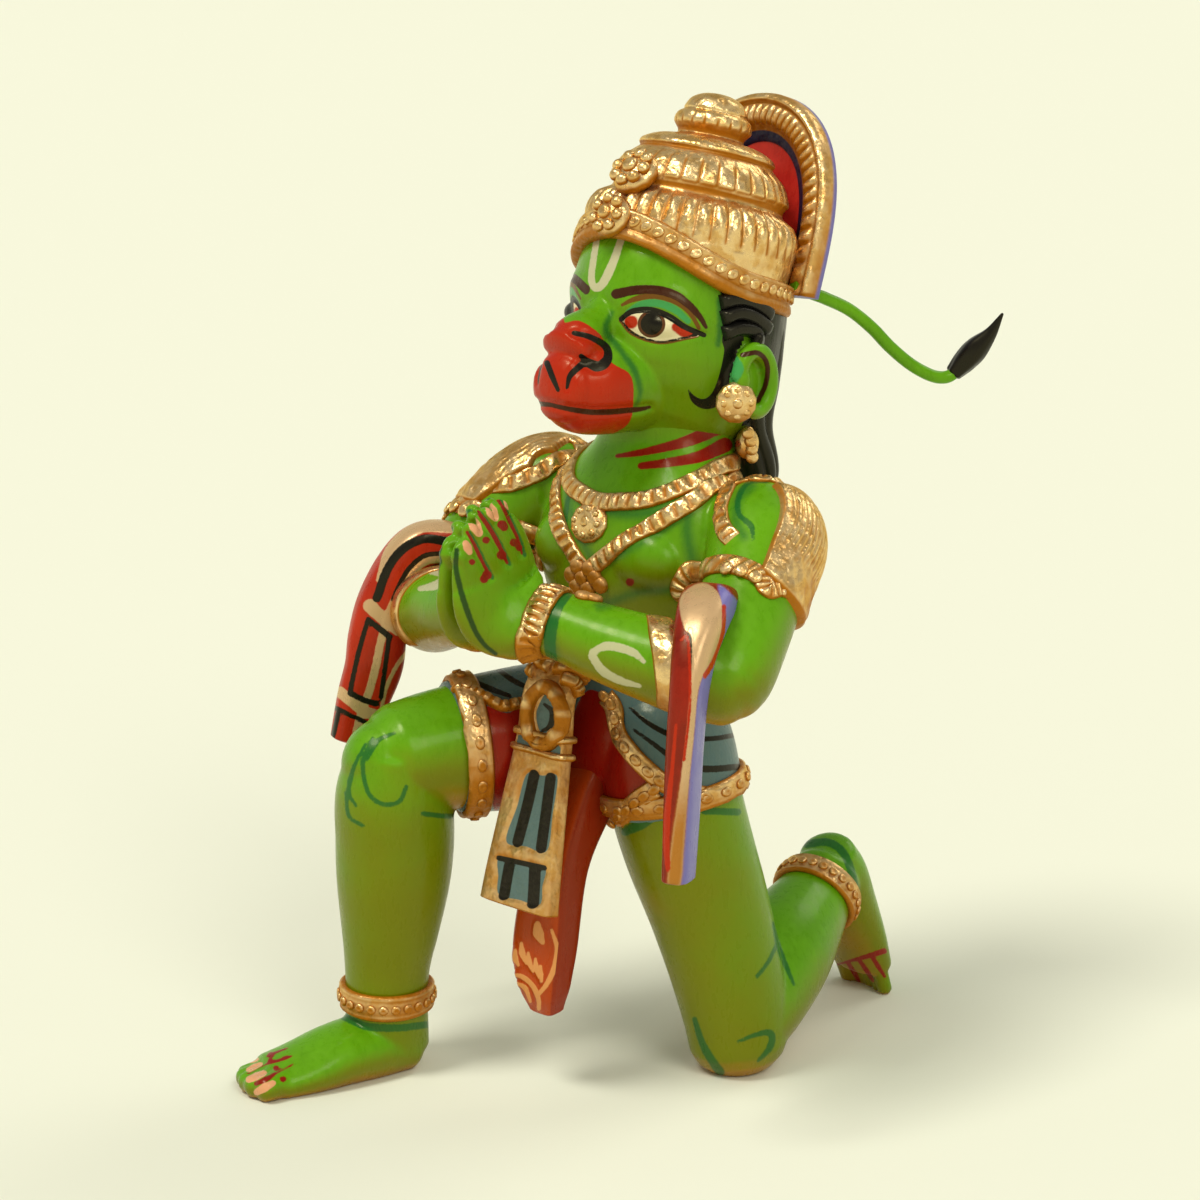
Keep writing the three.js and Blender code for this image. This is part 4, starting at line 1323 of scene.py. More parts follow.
@dataclass
class Head:
    """Skull, muzzle, nose, eyes and ears."""

    grain: float = 0.64
    skin: Shape | None = None
    eyeball: tuple[float, float, float] = (14.8, -7.8, 228.2)
    eye_size: tuple[float, float, float] = (7.6, 5.6, 4.5)
    # Lines and areas of the face at the photograph's pixels
    brow: tuple = ((((616, 294), (636, 290), (657, 290), (675, 295), (689, 305), (699, 316), (706, 327)),
                    (10, 9, 9, 7, 4)),)
    lid: tuple = ((((622, 305), (635, 299), (655, 296), (676, 302), (690, 313), (699, 328)),
                   (3, 6, 6, 5, 4)),)
    upper: Track = ((621, 319), (632, 311.5), (650, 310), (668, 316), (685, 327), (704, 335))
    lower: Track = ((621.5, 320.5), (632, 332.5), (650, 340), (665, 341.5), (683, 338), (697, 335))
    mouth: tuple = ((((547, 404), (569, 409), (590, 412), (608, 412), (626, 410.5), (641, 409),
                      (650, 407)), (4, 5.5, 6, 5.5, 3)),)
    # Round the near nostril, and the commas in both nostrils
    wing: tuple = ((((574, 333), (590, 337), (606, 347), (607, 360), (597, 367), (586, 363),
                     (579, 367), (570, 376), (567, 388)), (5, 6, 8, 11, 8, 7, 6, 3)),)
    commas: tuple = (
        (((581, 356), (587, 361), (596, 364)), (5, 7, 6)), (((547, 363), (552, 376), (558, 390)), (6, 6, 4)))
    muzzle: Track = ((557, 325), (578, 320.5), (594.5, 329.5), (603.5, 340), (610, 361), (631, 376),
                     (633, 406), (628, 424), (608, 436), (590, 440), (560, 440), (520, 420),
                     (520, 340), (540, 322))
    eye: Track = ((622, 320), (632, 313), (650, 311), (667, 317), (684, 327), (700, 335), (683, 339),
                  (665, 341), (650, 340), (634, 332))
    corners: tuple = (
        dot((631, 322), 13), (((676, 327), (684, 333), (694, 335)), (9, 9, 5)))
    pupil: tuple[float, float] = (651.5, 324)
    shades: tuple = (
        (((605, 334), (620, 350), (634, 370), (640, 392), (634, 410)), (4, 6, 7, 5, 2)),
        (((612, 312), (606, 330), (620, 348)), (4, 7, 5)),
        (((719, 300), (721, 322), (718, 345)), (5, 8, 5)))
    teal: tuple = (
        (((628, 312), (640, 305), (656, 303), (674, 309), (688, 321)), (5, 8, 8, 6)),
        (((734, 360), (737, 369), (734, 379)), (10, 14, 9)))
    # Rim of the near ear
    ear_line: tuple = ((((742.5, 355), (758, 353), (767, 364), (766, 383), (758, 401)), 5),)
    tilak: tuple = ((((596.6, 240), (591.5, 275), (594.5, 287), (602, 284.5), (612, 265), (621, 240)),
                     (6, 7, 8, 9, 7)),)
    hairline: Track = ((694, 272), (707, 283), (722, 295), (725, 319), (722, 340), (724, 352),
                       (718, 379), (711, 394), (702.5, 399), (693.5, 395), (688, 389),
                       (692, 402), (704, 409), (718, 406), (732, 393), (739, 372), (742, 352),
                       (760, 342), (790, 350), (800, 320), (780, 270), (730, 250))

    def ear(self) -> list[Shape]:
        """The left ear: a curled rim, its hollow floor and the small lobe before it.

        Returns:
            The solids of one ear.
        """
        turn = np.linspace(0, 1, 9)
        angle = np.radians(-150 + 300 * turn)
        rim = np.stack([33.0 + 1.6 * turn, 12.4 + 6.2 * np.sin(angle + 1.2),
                        211.6 + 8.8 * np.cos(angle + 1.2)], axis=1)
        sizes = np.stack([2.6 - 0.6 * np.abs(turn - 0.4), 2.6 - 0.6 * np.abs(turn - 0.4)], axis=1)
        curl = Tube(np.hstack([rim, sizes]))
        floor = Tube(((26, 12, 211.2, 8.4, 6.6), (31.6, 12.4, 211.6, 8.2, 6.2)), (0, 0, 1))
        return [curl.skin(20, 50), floor.skin(30, 6), ball((33.6, 7.2, 212.6), (2.4, 2.6, 3.6))]

    def build(self) -> Shape:
        """Fuses the head and carves mouth, lids and nostrils.

        Returns:
            The skin.
        """
        parts = [SKULL.skin(80, 60, 2, 2), MUZZLE.skin(60, 30, 1, 5.5), NOSE.skin(44, 30, 1, 2.4),
                 ball(self.eyeball, self.eye_size),
                 ball(np.multiply(self.eyeball, (-1, 1, 1)), self.eye_size)]
        parts += self.ear() + [part.mirrored() for part in self.ear()]
        self.skin = fused(parts, self.grain, 4)
        for strokes, wide, depth in ((self.mouth, 0.9, 0.8), (self.wing, 0.8, 0.6), (self.lid, 1.0, -0.35),
                                     (((self.upper, 1.2),), 0.7, 0.45), (((self.lower, 1.2),), 0.7, 0.35),
                                     (self.brow, 1.2, -0.3)):
            carve(self.skin, SIGHT.drawn(self.skin, strokes, True), wide, depth)
        return self.skin

    def marks(self) -> None:
        """Signed distances of all paints of the face."""
        skin = self.skin
        # Painted bounce light, weaker on the head
        skin.marks["warm"] = 0.6 * bounce_share(skin)
        drawn = {
            "muzzle": ((self.muzzle, None),),
            "shade": self.shades,
            "teal": self.teal,
            "lid": (*self.lid, (self.lower, 5.5)),
            "white": ((self.eye, None),),
            "corner": self.corners,
            "iris": (dot(self.pupil, 27),),
            "brow": (*self.brow, *self.mouth, *self.ear_line),
            "black": ((self.upper, (5, 6.5, 6.5, 5)), (self.lower, 2.4), *self.wing,
                      (self.hairline, None), dot(self.pupil, 21)),
        }
        for name, strokes in drawn.items():
            skin.marks[name] = SIGHT.drawn(skin, strokes, True)
        near = SIGHT.drawn(skin, self.commas)
        skin.marks["black"] = np.minimum(skin.marks["black"], near)
        skin.marks["tilak"] = SIGHT.drawn(skin, self.tilak)
        away = np.minimum(skin.points[:, 1] - 19.0, 30.0)
        back = np.maximum(-away, -(skin.points[:, 2] - 196))
        ears = (np.abs(skin.points[:, 0]) > 30.4) & (np.abs(skin.points[:, 2] - 211.5) < 12.5)
        skin.marks["black"] = np.where(ears, FAR, np.minimum(skin.marks["black"], back))

    def dress(self, face: bpy.types.Material) -> None:
        """Paints the head."""
        self.marks()
        dress(to_object("head", self.skin), face)


@dataclass
class BackHair:
    """Hair down the back, carved in wavy locks, and the locks before the ears."""

    locks: int = 15
    # Locks above the near ear, at the photograph's pixels
    swept: tuple = (
        ((720, 303), (736, 299), (754, 304), (769, 316)), ((720, 318), (736, 313), (753, 318), (767, 330)),
        ((722, 334), (737, 328), (752, 331), (764, 342)))
    swept_band: Band = Band(4.6, 3.0)

    def build(self) -> Shape:
        """The hair's tube with grooves: height cos of locks times a swaying angle, squared off.

        Returns:
            The closed surface.
        """
        def lock(angle: Array, t: Array) -> Array:
            sway = angle + 0.10 * np.sin(9 * t) + 0.05 * np.sin(21 * t + angle)
            return 1.1 * np.abs(np.cos(sway * self.locks / 2)) ** 0.7 - 0.4
        return HAIR.skin(220, 110, 1, 5, lock)

    def temples(self, head: Shape) -> Shape:
        """Three swept locks above each ear, as raised bands on the head.

        Args:
            head: the head's skin.

        Returns:
            All locks as one surface.
        """
        made = []
        for track in self.swept:
            line = SIGHT.cast(track, head)
            for way in (line, line * (-1, 1, 1)):
                made.append(self.swept_band.along(way, head))
        return Shape.joined(made)


@dataclass
class HipCloth:
    """The cloth wound round the hips and thighs, with its gold hems."""

    grain: float = 0.92
    rise: float = 1.3
    skin: Shape | None = None
    apron: Track = ((0, -5, 118, 21, 18), (1, -6, 102, 20, 17.5), (3, -7.5, 88, 15, 15.5),
                    (5.5, -9.5, 80, 9, 12.5))
    red: tuple = (
        (((475.7, 703), (484, 704.6), (508, 713), (523, 704.6), (521.6, 742), (513, 776), (501, 805),
          (494, 810), (487.6, 769)), None),
        (((586, 691), (606.6, 699), (610, 725), (623.6, 755.6), (644, 779), (650, 790), (630, 806),
          (603, 828), (570, 830), (560, 776), (570, 725)), None))
    stripes: tuple = (
        (((488, 661), (511, 679), (534, 691)), (3, 6, 4)),
        (((472, 680), (491, 689), (510, 696)), (4, 6, 4)),
        (((630, 708), (651, 725), (678, 737), (712, 738.6), (745, 733)), (3, 5, 6, 5, 5)),
        (((634, 730), (657.6, 747), (678, 762), (705, 769), (745, 766)), (3, 5, 5, 7, 6)))

    # Lines of the front fold's two hems and of the waist's cord, at the photograph's pixels
    fold: Track = ((606.6, 696), (614, 708), (619, 732), (630, 752), (646, 769), (663, 782), (684, 793),
                   (706, 797))
    lower: Track = ((655, 789), (640, 800), (626, 812), (611, 826))
    waist: Track = ((454, 688), (468, 690), (484, 697), (504, 706), (524, 702))
    hem_high: float = 1.8
    hem_bead: float = 1.5
    waist_band: Band = Band(3.8, 2.2, notches=9, depth=0.5)
    # Heights of the dark stripes on the hidden back
    back_stripes: tuple[float, ...] = (97.5, 106.5, 115.5)

    def build(self) -> Shape:
        """Fuses the covered stretches of torso and thighs, grown by the cloth's thickness.

        Returns:
            The skin.
        """
        rise = self.rise
        parts = [
            TORSO.part(0, 0.36).skin(64, 24, 0.6, 0.6, rise=rise),
            RIGHT_THIGH.part(0, 0.74).skin(48, 28, 4, 0.5, rise=rise),
            LEFT_THIGH.part(0, 0.325).skin(48, 20, 3, 0.5, rise=rise),
            Tube(self.apron).skin(56, 20, 1, 0.6),
        ]
        self.skin = fused(parts, self.grain, 3)
        return self.skin

    def paint(self) -> None:
        """Marks of the red folds and of the dark stripes; the hidden back has level stripes."""
        skin = self.skin
        skin.marks["red"] = SIGHT.drawn(skin, self.red)
        x, y, z = skin.points.T
        wave = 1.2 * np.sin(x * 0.16) + 0.6 * np.sin(x * 0.41 + 1.0)
        lines = np.min([np.abs(z - level - wave) for level in self.back_stripes], axis=0) - 0.8
        hidden = SIGHT.shown(skin, False)[1] < 0.02
        skin.marks["stripes"] = np.minimum(SIGHT.drawn(skin, self.stripes), np.where(hidden, lines, FAR))

    def hems(self) -> Shape:
        """Flat gold bands with a row of oval rings: round both thighs and down the front folds.

        Returns:
            All hems as one surface.
        """
        skin = self.skin
        made = []
        turn = np.arange(28) / 28 * TURN
        right = RIGHT_THIGH.point(turn, 0.685 + 0.015 * np.cos(turn))
        left = LEFT_THIGH.point(turn, 0.298 - 0.006 * np.sin(turn))
        fold, lower, waist = (SIGHT.cast(line, skin) for line in (self.fold, self.lower, self.waist))
        for track, closed, wide, count in (
                (right, True, 7.8, 20), (left, True, 6.6, 20), (fold, False, 5.6, 11),
                (lower, False, 6.0, 6)):
            made.append(Band(wide, self.hem_high, edge=0.6).along(track, skin, closed, 12))
            made.append(beads_on(track, skin, count, self.hem_bead, closed, flat=0.7, ring=0.5, long=1.4,
                                 lift=1.9))
        made.append(self.waist_band.along(waist, skin))
        return Shape.joined(made)

    def dress(self, cloth: bpy.types.Material, gold: bpy.types.Material) -> None:
        """Paints the cloth and gilds its hems."""
        self.paint()
        dress(to_object("hip_cloth", self.skin), cloth)
        dress(to_object("hip_hems", self.hems()), gold)


@dataclass
class FrontPanel:
    """The stiff cloth end that hangs in front, with its bow and two cords."""

    tube: Tube = Tube(
        ((0, -13, 133, 6, 3), (0, -29, 131, 7, 3), (0, -37, 122, 8.8, 3), (0, -39.5, 108, 9.6, 3),
         (0, -43.5, 90, 11.5, 3), (0, -48, 70, 13.6, 3), (0, -50, 60, 14.5, 3)), power=7.0)
    skin: Shape | None = None
    # Fields, stripes and the loop, at the photograph's pixels
    fields: tuple = (
        (((525.5, 774), (541, 775.5), (557, 777), (552, 813), (546, 851), (525, 846.5), (505, 841),
          (516, 806)), None),
        (((498, 857), (521, 862.5), (544, 868), (541.5, 886), (538.5, 905), (518, 900), (497.7, 894.5),
          (497, 876)), None),
        (((514, 734.2), (536, 740), (559.6, 746.7), (558.6, 757), (536, 750), (513, 744.3)), None))
    eye: tuple = ((((545.8, 693), (554, 704), (556, 716), (553, 730), (545.8, 739), (538, 730),
                    (535, 716), (538, 704)), None),)
    stripes: tuple = (
        (((533, 775), (526, 806), (516.5, 842)), 11), (((549.5, 778), (545, 812), (540, 848)), 11),
        (((508, 866), (505.5, 880), (503, 895)), 11), (((533.7, 870), (533, 887), (532, 903)), 12),
        (((498, 858), (521, 863), (544, 868)), 5.5),
        (((543, 704), (551, 712), (549, 726), (541, 731)), (3, 6, 6, 3)))
    loop: Track = ((545, 687), (555, 692), (561, 703), (562.5, 716), (560, 731), (550, 743), (539, 744),
                   (531, 735), (528, 714), (534, 695))
    gathers: tuple = (
        ((554, 668), (570, 668), (584, 676), (596, 688)), ((563, 678), (574, 684), (582, 696)))
    loop_band: Band = Band(4.6, 2.8, notches=7, depth=0.4, sharp=1.0)
    gather_band: Band = Band(4.4, 2.4, notches=4, depth=0.5)
    cord_band: Band = Band(2.3, 1.4)
    # Places along the board of the two cords round it
    cords: tuple = (0.482, 0.532)

    def build(self) -> Shape:
        """The board itself, a squared tube."""
        self.skin = self.tube.skin(160, 140, 0.8, 0.8)
        return self.skin

    def trim(self) -> Shape:
        """The loop of the bow, its gathers and the cords below it.

        Returns:
            The trim as one surface.
        """
        loop = SIGHT.cast(self.loop, self.skin)
        angle = np.arange(28) / 28 * TURN
        made = [self.loop_band.along(loop, self.skin, True)]
        for line in self.gathers:
            track = SIGHT.cast(line, self.skin)
            made += [self.gather_band.along(way, self.skin) for way in (track, track * (-1, 1, 1))]
        for t in self.cords:
            ring = self.tube.point(angle, t)
            made.append(self.cord_band.along(ring, self.skin, True))
        return Shape.joined(made)

    def dress(self, cloth: bpy.types.Material, gold: bpy.types.Material) -> None:
        """Paints the blue fields with their dark stripes and leaves the rest gold.

        Args:
            cloth: paint of the board.
            gold: paint of the trim.
        """
        skin = self.skin
        front = skin.normals()[:, 1] < -0.5
        fields = np.where(front, SIGHT.drawn(skin, (*self.fields, *self.eye)), FAR)
        skin.marks["field"] = fields
        skin.marks["black"] = np.where(front, SIGHT.drawn(skin, self.stripes), FAR)
        carve(skin, fields, 0.6, 0.5)
        dress(to_object("front_panel", skin), cloth)
        dress(to_object("panel_trim", self.trim()), gold)


@dataclass
class Pleats:
    """The gathered cloth between the knees, painted with pale tulips."""

    tube: Tube = Tube(
        ((0, -14, 100, 8, 8), (0, -24, 88, 8.4, 8), (0, -34, 70, 8.6, 6.4), (-0.5, -39, 46, 9.8, 5.8),
         (0, -40, 34, 8, 5), (0, -39, 26, 5, 3.4)), power=4.5)
    # Petals and arcs of the painted tulip, at the photograph's pixels
    motif: tuple = (
        (((516, 950), (516, 958), (519, 965)), (3, 6, 3)), (((522, 943), (523, 953), (527, 963)), (3, 7, 3)),
        (((529, 953), (530, 962), (534, 971)), (3, 6, 3)), (((536, 959), (537, 968), (540, 977)), (3, 6, 3)),
        (((541, 966), (541.5, 974), (542, 981)), (3, 5, 3)),
        (((538, 924), (539, 933), (543, 942)), (6, 11, 5)),
        (((511, 975), (522, 976), (533, 985), (539, 998), (539.5, 1008)), (3, 5, 5, 4)),
        (((518, 983), (526, 988), (531, 1001)), (3, 5, 3)),
        (((552, 930), (557, 948), (554, 968), (547, 984), (540, 993)), (3, 5, 5, 4)))

    def dress(self, cloth: bpy.types.Material) -> None:
        """Shapes the pleats and paints the front face light and the sides dark.

        Args:
            cloth: paint of the pleats.
        """
        skin = self.tube.skin(160, 140, 1, 1.6)
        normal = skin.normals()
        skin.marks["side"] = -3.0 * (normal[:, 1] + 0.62)
        skin.marks["motif"] = np.where(normal[:, 1] < -0.4, SIGHT.drawn(skin, self.motif), FAR)
        carve(skin, skin.marks["motif"], 0.5, -0.3)
        dress(to_object("pleats", skin), cloth)


@dataclass
class Drape:
    """A cloth end over a forearm: a saddle over the arm and a board hanging from it."""

    side: Side
    stations: Track
    skin: Shape | None = None

    def build(self) -> Shape:
        """The board, squared off, with its thickness along the arm."""
        self.skin = Tube(self.stations, (0.9, 0.44 * self.side.value, 0), 3.2).skin(64, 110, 1.5, 1.2)
        return self.skin


@dataclass
class NearDrape(Drape):
    """The left cloth end, seen by its edge: red inner face, gold edge, lavender outer face."""

    side: Side = Side.LEFT
    # Height below which the gold turns orange
    turn_level: float = 108.0
    stations: Track = (
        (48, -17, 143, 6, 4), (51.5, -22, 153, 7.4, 5.2), (56, -29.5, 156.6, 7.8, 5.6),
        (60.8, -37.5, 153, 7, 6), (63.8, -43.5, 145, 5.6, 6.6), (65.4, -47, 134, 4.6, 7.4),
        (66, -49, 120, 4.3, 7.6), (66.6, -50.6, 104, 4.2, 7.4), (66.8, -52, 84, 3.9, 6.6))
    # Gold edge, lavender face and painted lines, at the photograph's pixels
    edge: Track = (
        (680, 598), (700, 583), (716, 590), (722, 606), (722, 631), (714, 656), (702, 678), (697, 700),
        (694, 735), (688, 793), (684, 845), (680, 885), (668, 885), (672, 840), (679, 793), (686, 735),
        (690, 690), (692, 640), (684, 628))
    outer: Track = (
        (718, 584), (740, 606), (738, 640), (730, 676), (722, 720), (708, 800), (698, 890), (680, 885),
        (684, 845), (688, 793), (694, 735), (697, 700), (702, 678), (714, 656), (722, 631), (722, 606))
    lines: tuple = (
        (((724, 606), (723, 632), (714, 660), (705, 676)), (4, 4, 5)),
        (((676, 725), (672, 770), (666, 830), (668, 870)), (3, 4, 8, 5)),
        (((681, 640), (688, 640), (690, 700), (684, 760)), (3, 3, 3)))
    shadows: tuple = ((((690, 630), (693, 680), (690, 735), (682, 800)), (5, 5, 5, 3)),)

    def dress(self, cloth: bpy.types.Material) -> None:
        """Paints the faces by the side that they look to.

        Args:
            cloth: the cloth end's paint.
        """
        skin = self.skin
        gold = (self.edge, None)
        inner = np.asarray(skin.normals() @ unit(np.array([0.9, 0.44, 0.0])))
        back = SIGHT.shown(skin, False)[1] < 0.02
        skin.marks["gold"] = np.where(back, 3 * (np.abs(inner) - 0.6), SIGHT.drawn(skin, (gold,)))
        skin.marks["outer"] = np.where(back, -4.0 * inner, SIGHT.drawn(skin, ((self.outer, None),)))
        skin.marks["low"] = np.maximum(skin.marks["gold"], (skin.points[:, 2] - self.turn_level) * 0.1)
        skin.marks["line"] = SIGHT.drawn(skin, self.lines)
        skin.marks["dark"] = SIGHT.drawn(skin, self.shadows)
        dress(to_object("near_drape", skin), cloth)


@dataclass
class FarDrape(Drape):
    """The right cloth end, seen face-on: red plaid with gold borders."""

    side: Side = Side.RIGHT
    stations: Track = (
        (-50, -20, 146, 6, 4.6), (-53, -24, 154.6, 7, 5.6), (-56, -29, 156.8, 7.4, 6.4),
        (-59.4, -35.4, 155.4, 7, 6.6), (-62.2, -40.6, 149, 6, 7), (-64.4, -44.6, 139, 5, 8),
        (-65.4, -46.4, 129, 4.4, 8.8), (-65.8, -47.6, 120, 4.2, 8.8), (-67.4, -50.6, 110, 4, 8),
        (-69, -54, 97.5, 3.8, 6.6))
    gold: tuple = (
        (((456, 527), (424, 526), (403, 537), (388, 555), (379, 580)), (13, 13, 12, 6)),
        (((447, 558.5), (424, 562), (406, 580.6), (393, 604), (387.6, 617), (380, 645.6), (376, 666),
          (369, 692), (359, 721), (354, 747)), 8),
        (((370, 606), (381, 617), (398, 632)), (14, 12, 8)),
        (((340, 692), (351, 701), (366, 712), (380, 716)), 11),
        (((411, 646), (395, 669), (385, 692), (380, 716), (369, 734)), 4))
    dark: tuple = (
        (((445, 541), (424, 539), (403, 549), (387.6, 569), (377, 598)), 9),
        (((445, 553), (424, 556), (408, 570), (398, 588), (393, 600)), 5),
        (((368, 619.6), (358, 655), (350, 692)), 5), (((368, 619.6), (390, 637)), 6),
        (((389, 638), (385, 668), (381, 697.6)), 5), (((350, 693), (364, 700), (377, 704)), 6),
        (((335.6, 708), (352, 716), (369, 723.6)), 5), (((338, 713), (336, 724), (333, 736.6)), 5))

    def dress(self, cloth: bpy.types.Material) -> None:
        """Paints the plaid on the face in view and its gold borders on.

        Args:
            cloth: the cloth end's paint.
        """
        skin = self.skin
        face = skin.normals() @ unit(np.array([0.9, -0.44, 0.0]))
        hidden = SIGHT.shown(skin, False)[1] < 0.02
        skin.marks["gold"] = np.where(hidden, 3 * (np.abs(face) - 0.5), SIGHT.drawn(skin, self.gold))
        skin.marks["dark"] = SIGHT.drawn(skin, self.dark)
        dress(to_object("far_drape", skin), cloth)


@dataclass
class Jewels:
    """All raised gold of the body: chains, shoulder pieces, rings, anklets, earrings and knot."""

    trunk: Shape
    hands: Shape
    legs: Shape
    wrist: tuple[float, float, float] = (12.7, -50.8, 147.7)
    wrist_axis: tuple[float, float, float] = (-0.9, -0.36, 0.22)
    # Lines on the near arm at the photograph's pixels
    armlet: Track = ((683, 592), (686, 576), (705, 568), (741, 568), (760, 576), (767, 588))
    bosses: Track = ((728, 570), (742, 572), (755, 578))
    cuff: Track = ((660, 614), (665, 640), (667, 668), (669, 694), (670, 712))
    medal: Track = ((590, 523),)
    collar_band: Band = Band(5.6, 1.7, notches=36, depth=0.8, slant=0.12, sharp=2.2, edge=0.3, span=0.55)
    chain_band: Band = Band(5.6, 1.7, notches=15, depth=0.8, slant=0.12, sharp=2.2, edge=0.3, span=0.6)
    curl_band: Band = Band(5.6, 1.7, notches=11, depth=0.8, slant=0.12, sharp=2.2, edge=0.3, span=0.6)
    armlet_band: Band = Band(6.4, 1.5, notches=36, depth=0.7, slant=0.4, sharp=1.8, edge=0.3)
    bracelet_band: Band = Band(8.2, 1.6, notches=26, depth=0.7, sharp=1.4, edge=0.5, span=0.55)
    cuff_band: Band = Band(8.0, 0.9)
    anklet_band: Band = Band(8.4, 1.9, edge=0.8)
    wrist_reach: float = 10.5
    # Middle, outward direction and radius of the left ear's disc, and the knots behind it
    disc: tuple[float, float, float] = (33.4, 5.0, 206.2)
    disc_out: tuple[float, float, float] = (0.82, -0.57, 0.0)
    disc_radius: float = 6.1
    knots: Track = ((26, 18.0, 194.7), (26.2, 18.9, 192.2), (26.2, 19.3, 189.8), (26, 19.8, 187.4))
    # Place round the upper arm, in degrees, and along it behind the near half of the armlet
    behind: Track = ((-66, 0.60), (-95, 0.58), (-125, 0.57), (-155, 0.57), (175, 0.57), (145, 0.57),
                     (115, 0.575), (85, 0.585))
    # Half of the collar, the chain to the pendant, the shoulder's curl and the pendant's lumps
    collar: Track = ((604, 500), (620, 502), (648, 500), (680, 488), (712, 472), (744, 458))
    chain: Track = ((760, 462), (720, 484), (692, 500), (664, 518), (642, 532), (620, 544),
                    (603, 557), (590, 568))
    curl: Track = ((790, 474), (774, 470), (757, 471), (740, 478), (726, 492), (721, 510), (724, 528),
                   (733, 540))
    pendant: Track = ((579, 566), (590, 570), (573, 576), (584, 579), (596, 576), (577, 587), (589, 589),
                      (600, 586), (584, 598), (595, 598))

    @staticmethod
    def flip(track: Array) -> Array:
        """A track's mirror image across the middle plane."""
        return np.asarray(track) * (-1, 1, 1)

    def chest(self) -> Shape:
        """Collar, crossing chains, hanging knot, medallion and the curls at the shoulders.

        Returns:
            All of it as one surface.
        """
        skin = self.trunk
        side = SIGHT.cast(self.collar, skin)
        front = np.array([[0.0, side[0][1] - 0.6, side[0][2] - 0.3]])
        nape = np.array([[14, 30, 192], [0, 33, 192.5], [-14, 30, 192]])
        collar = np.vstack([front, side[1:], nape, self.flip(side[:0:-1])])
        made = [self.collar_band.along(collar, skin, True, 12)]
        for line, band in ((self.chain, self.chain_band), (self.curl, self.curl_band)):
            way = SIGHT.cast(line, skin)
            made += [band.along(one, skin) for one in (way, self.flip(way))]
        lumps, ups = place_on(SIGHT.cast(self.pendant, skin), skin)
        hanging = beads(lumps + ups * 0.4, ups, 2.7, 0.75, 0.3)
        hanging.marks["deep"] = np.maximum(hanging.marks["deep"], 0.7)
        made.append(hanging)
        centre = SIGHT.cast(self.medal, skin)
        spot, up = place_on(centre, skin)
        made.append(beads(spot, up, 7.4, 0.3, headings=np.array([[0.0, 0.0, 1.0]]), long=0.84))
        angle = np.arange(8) / 8 * TURN
        over = unit(np.array([0.0, 0.0, 1.0]) - up[0] * up[0, 2])
        side_way = np.cross(up[0], over)
        ring = spot + up * 1.5 + np.cos(angle)[:, None] * over * 3.9 + np.sin(angle)[:, None] * side_way * 4.7
        made.append(beads(ring, np.tile(up, (8, 1)), 1.15, 0.8))
        made.append(beads(spot + up * 1.7, up, 1.8, 0.7, 0.4))
        return Shape.joined(made)

    def shoulder(self, side: Side) -> Shape:
        """The fan over a shoulder: ribs that run down from its top edge, hammered below.

        The far fan reaches further forward and down, as the photograph shows.

        Args:
            side: the shoulder.

        Returns:
            The fan as a closed surface.
        """
        near = side is Side.LEFT
        tube = UPPER_ARM if near else FAR_UPPER_ARM
        across = np.linspace(0, 1, 90)[None, :]
        down = np.linspace(0, 1, 50)[:, None]
        front = -44 + 9 * down ** 2 if near \
            else -10 + 36 * smooth(down, 0.0, 0.35) - 12 * down ** 4
        angle = np.radians(-168 + (front + 168) * across)
        t = (0.3 if near else 0.28) + (0.33 if near else 0.31) * down * (1 - 0.12 * (2 * across - 1) ** 2)
        edge = np.minimum(1, 9 * np.minimum(np.minimum(across, 1 - across), np.minimum(down, 1 - down)))
        count = 21 if near else 27
        sway = across + 0.03 * np.sin(5 * down)
        ribs = 0.42 * (1 - smooth(down, 0.5, 0.75)) * (np.abs(np.cos(math.pi * count * sway)) - 0.5)
        dents = 0.3 * np.sin(TURN * 6.3 * across + 7 * down) * np.sin(TURN * 4.1 * down + 5 * across)
        dents = dents * smooth(down, 0.4, 0.7)
        rise = -1.2 + (3.2 if near else 2.7) * smooth(edge, 0, 0.5) + (ribs + dents) * smooth(edge, 0.7, 1.0)
        top = tube.point(angle, t, rise)
        under = tube.point(angle, t, np.full_like(rise, -1.8))
        deep = np.clip(0.45 - 1.6 * ribs + 0.6 * (edge < 0.5), 0, 1) * 0.9
        grid = np.concatenate([top, under[:, ::-1]], axis=1)
        shape = lattice(grid, deep=np.concatenate([deep, np.ones_like(deep)], axis=1))
        return shape if near else shape.mirrored()

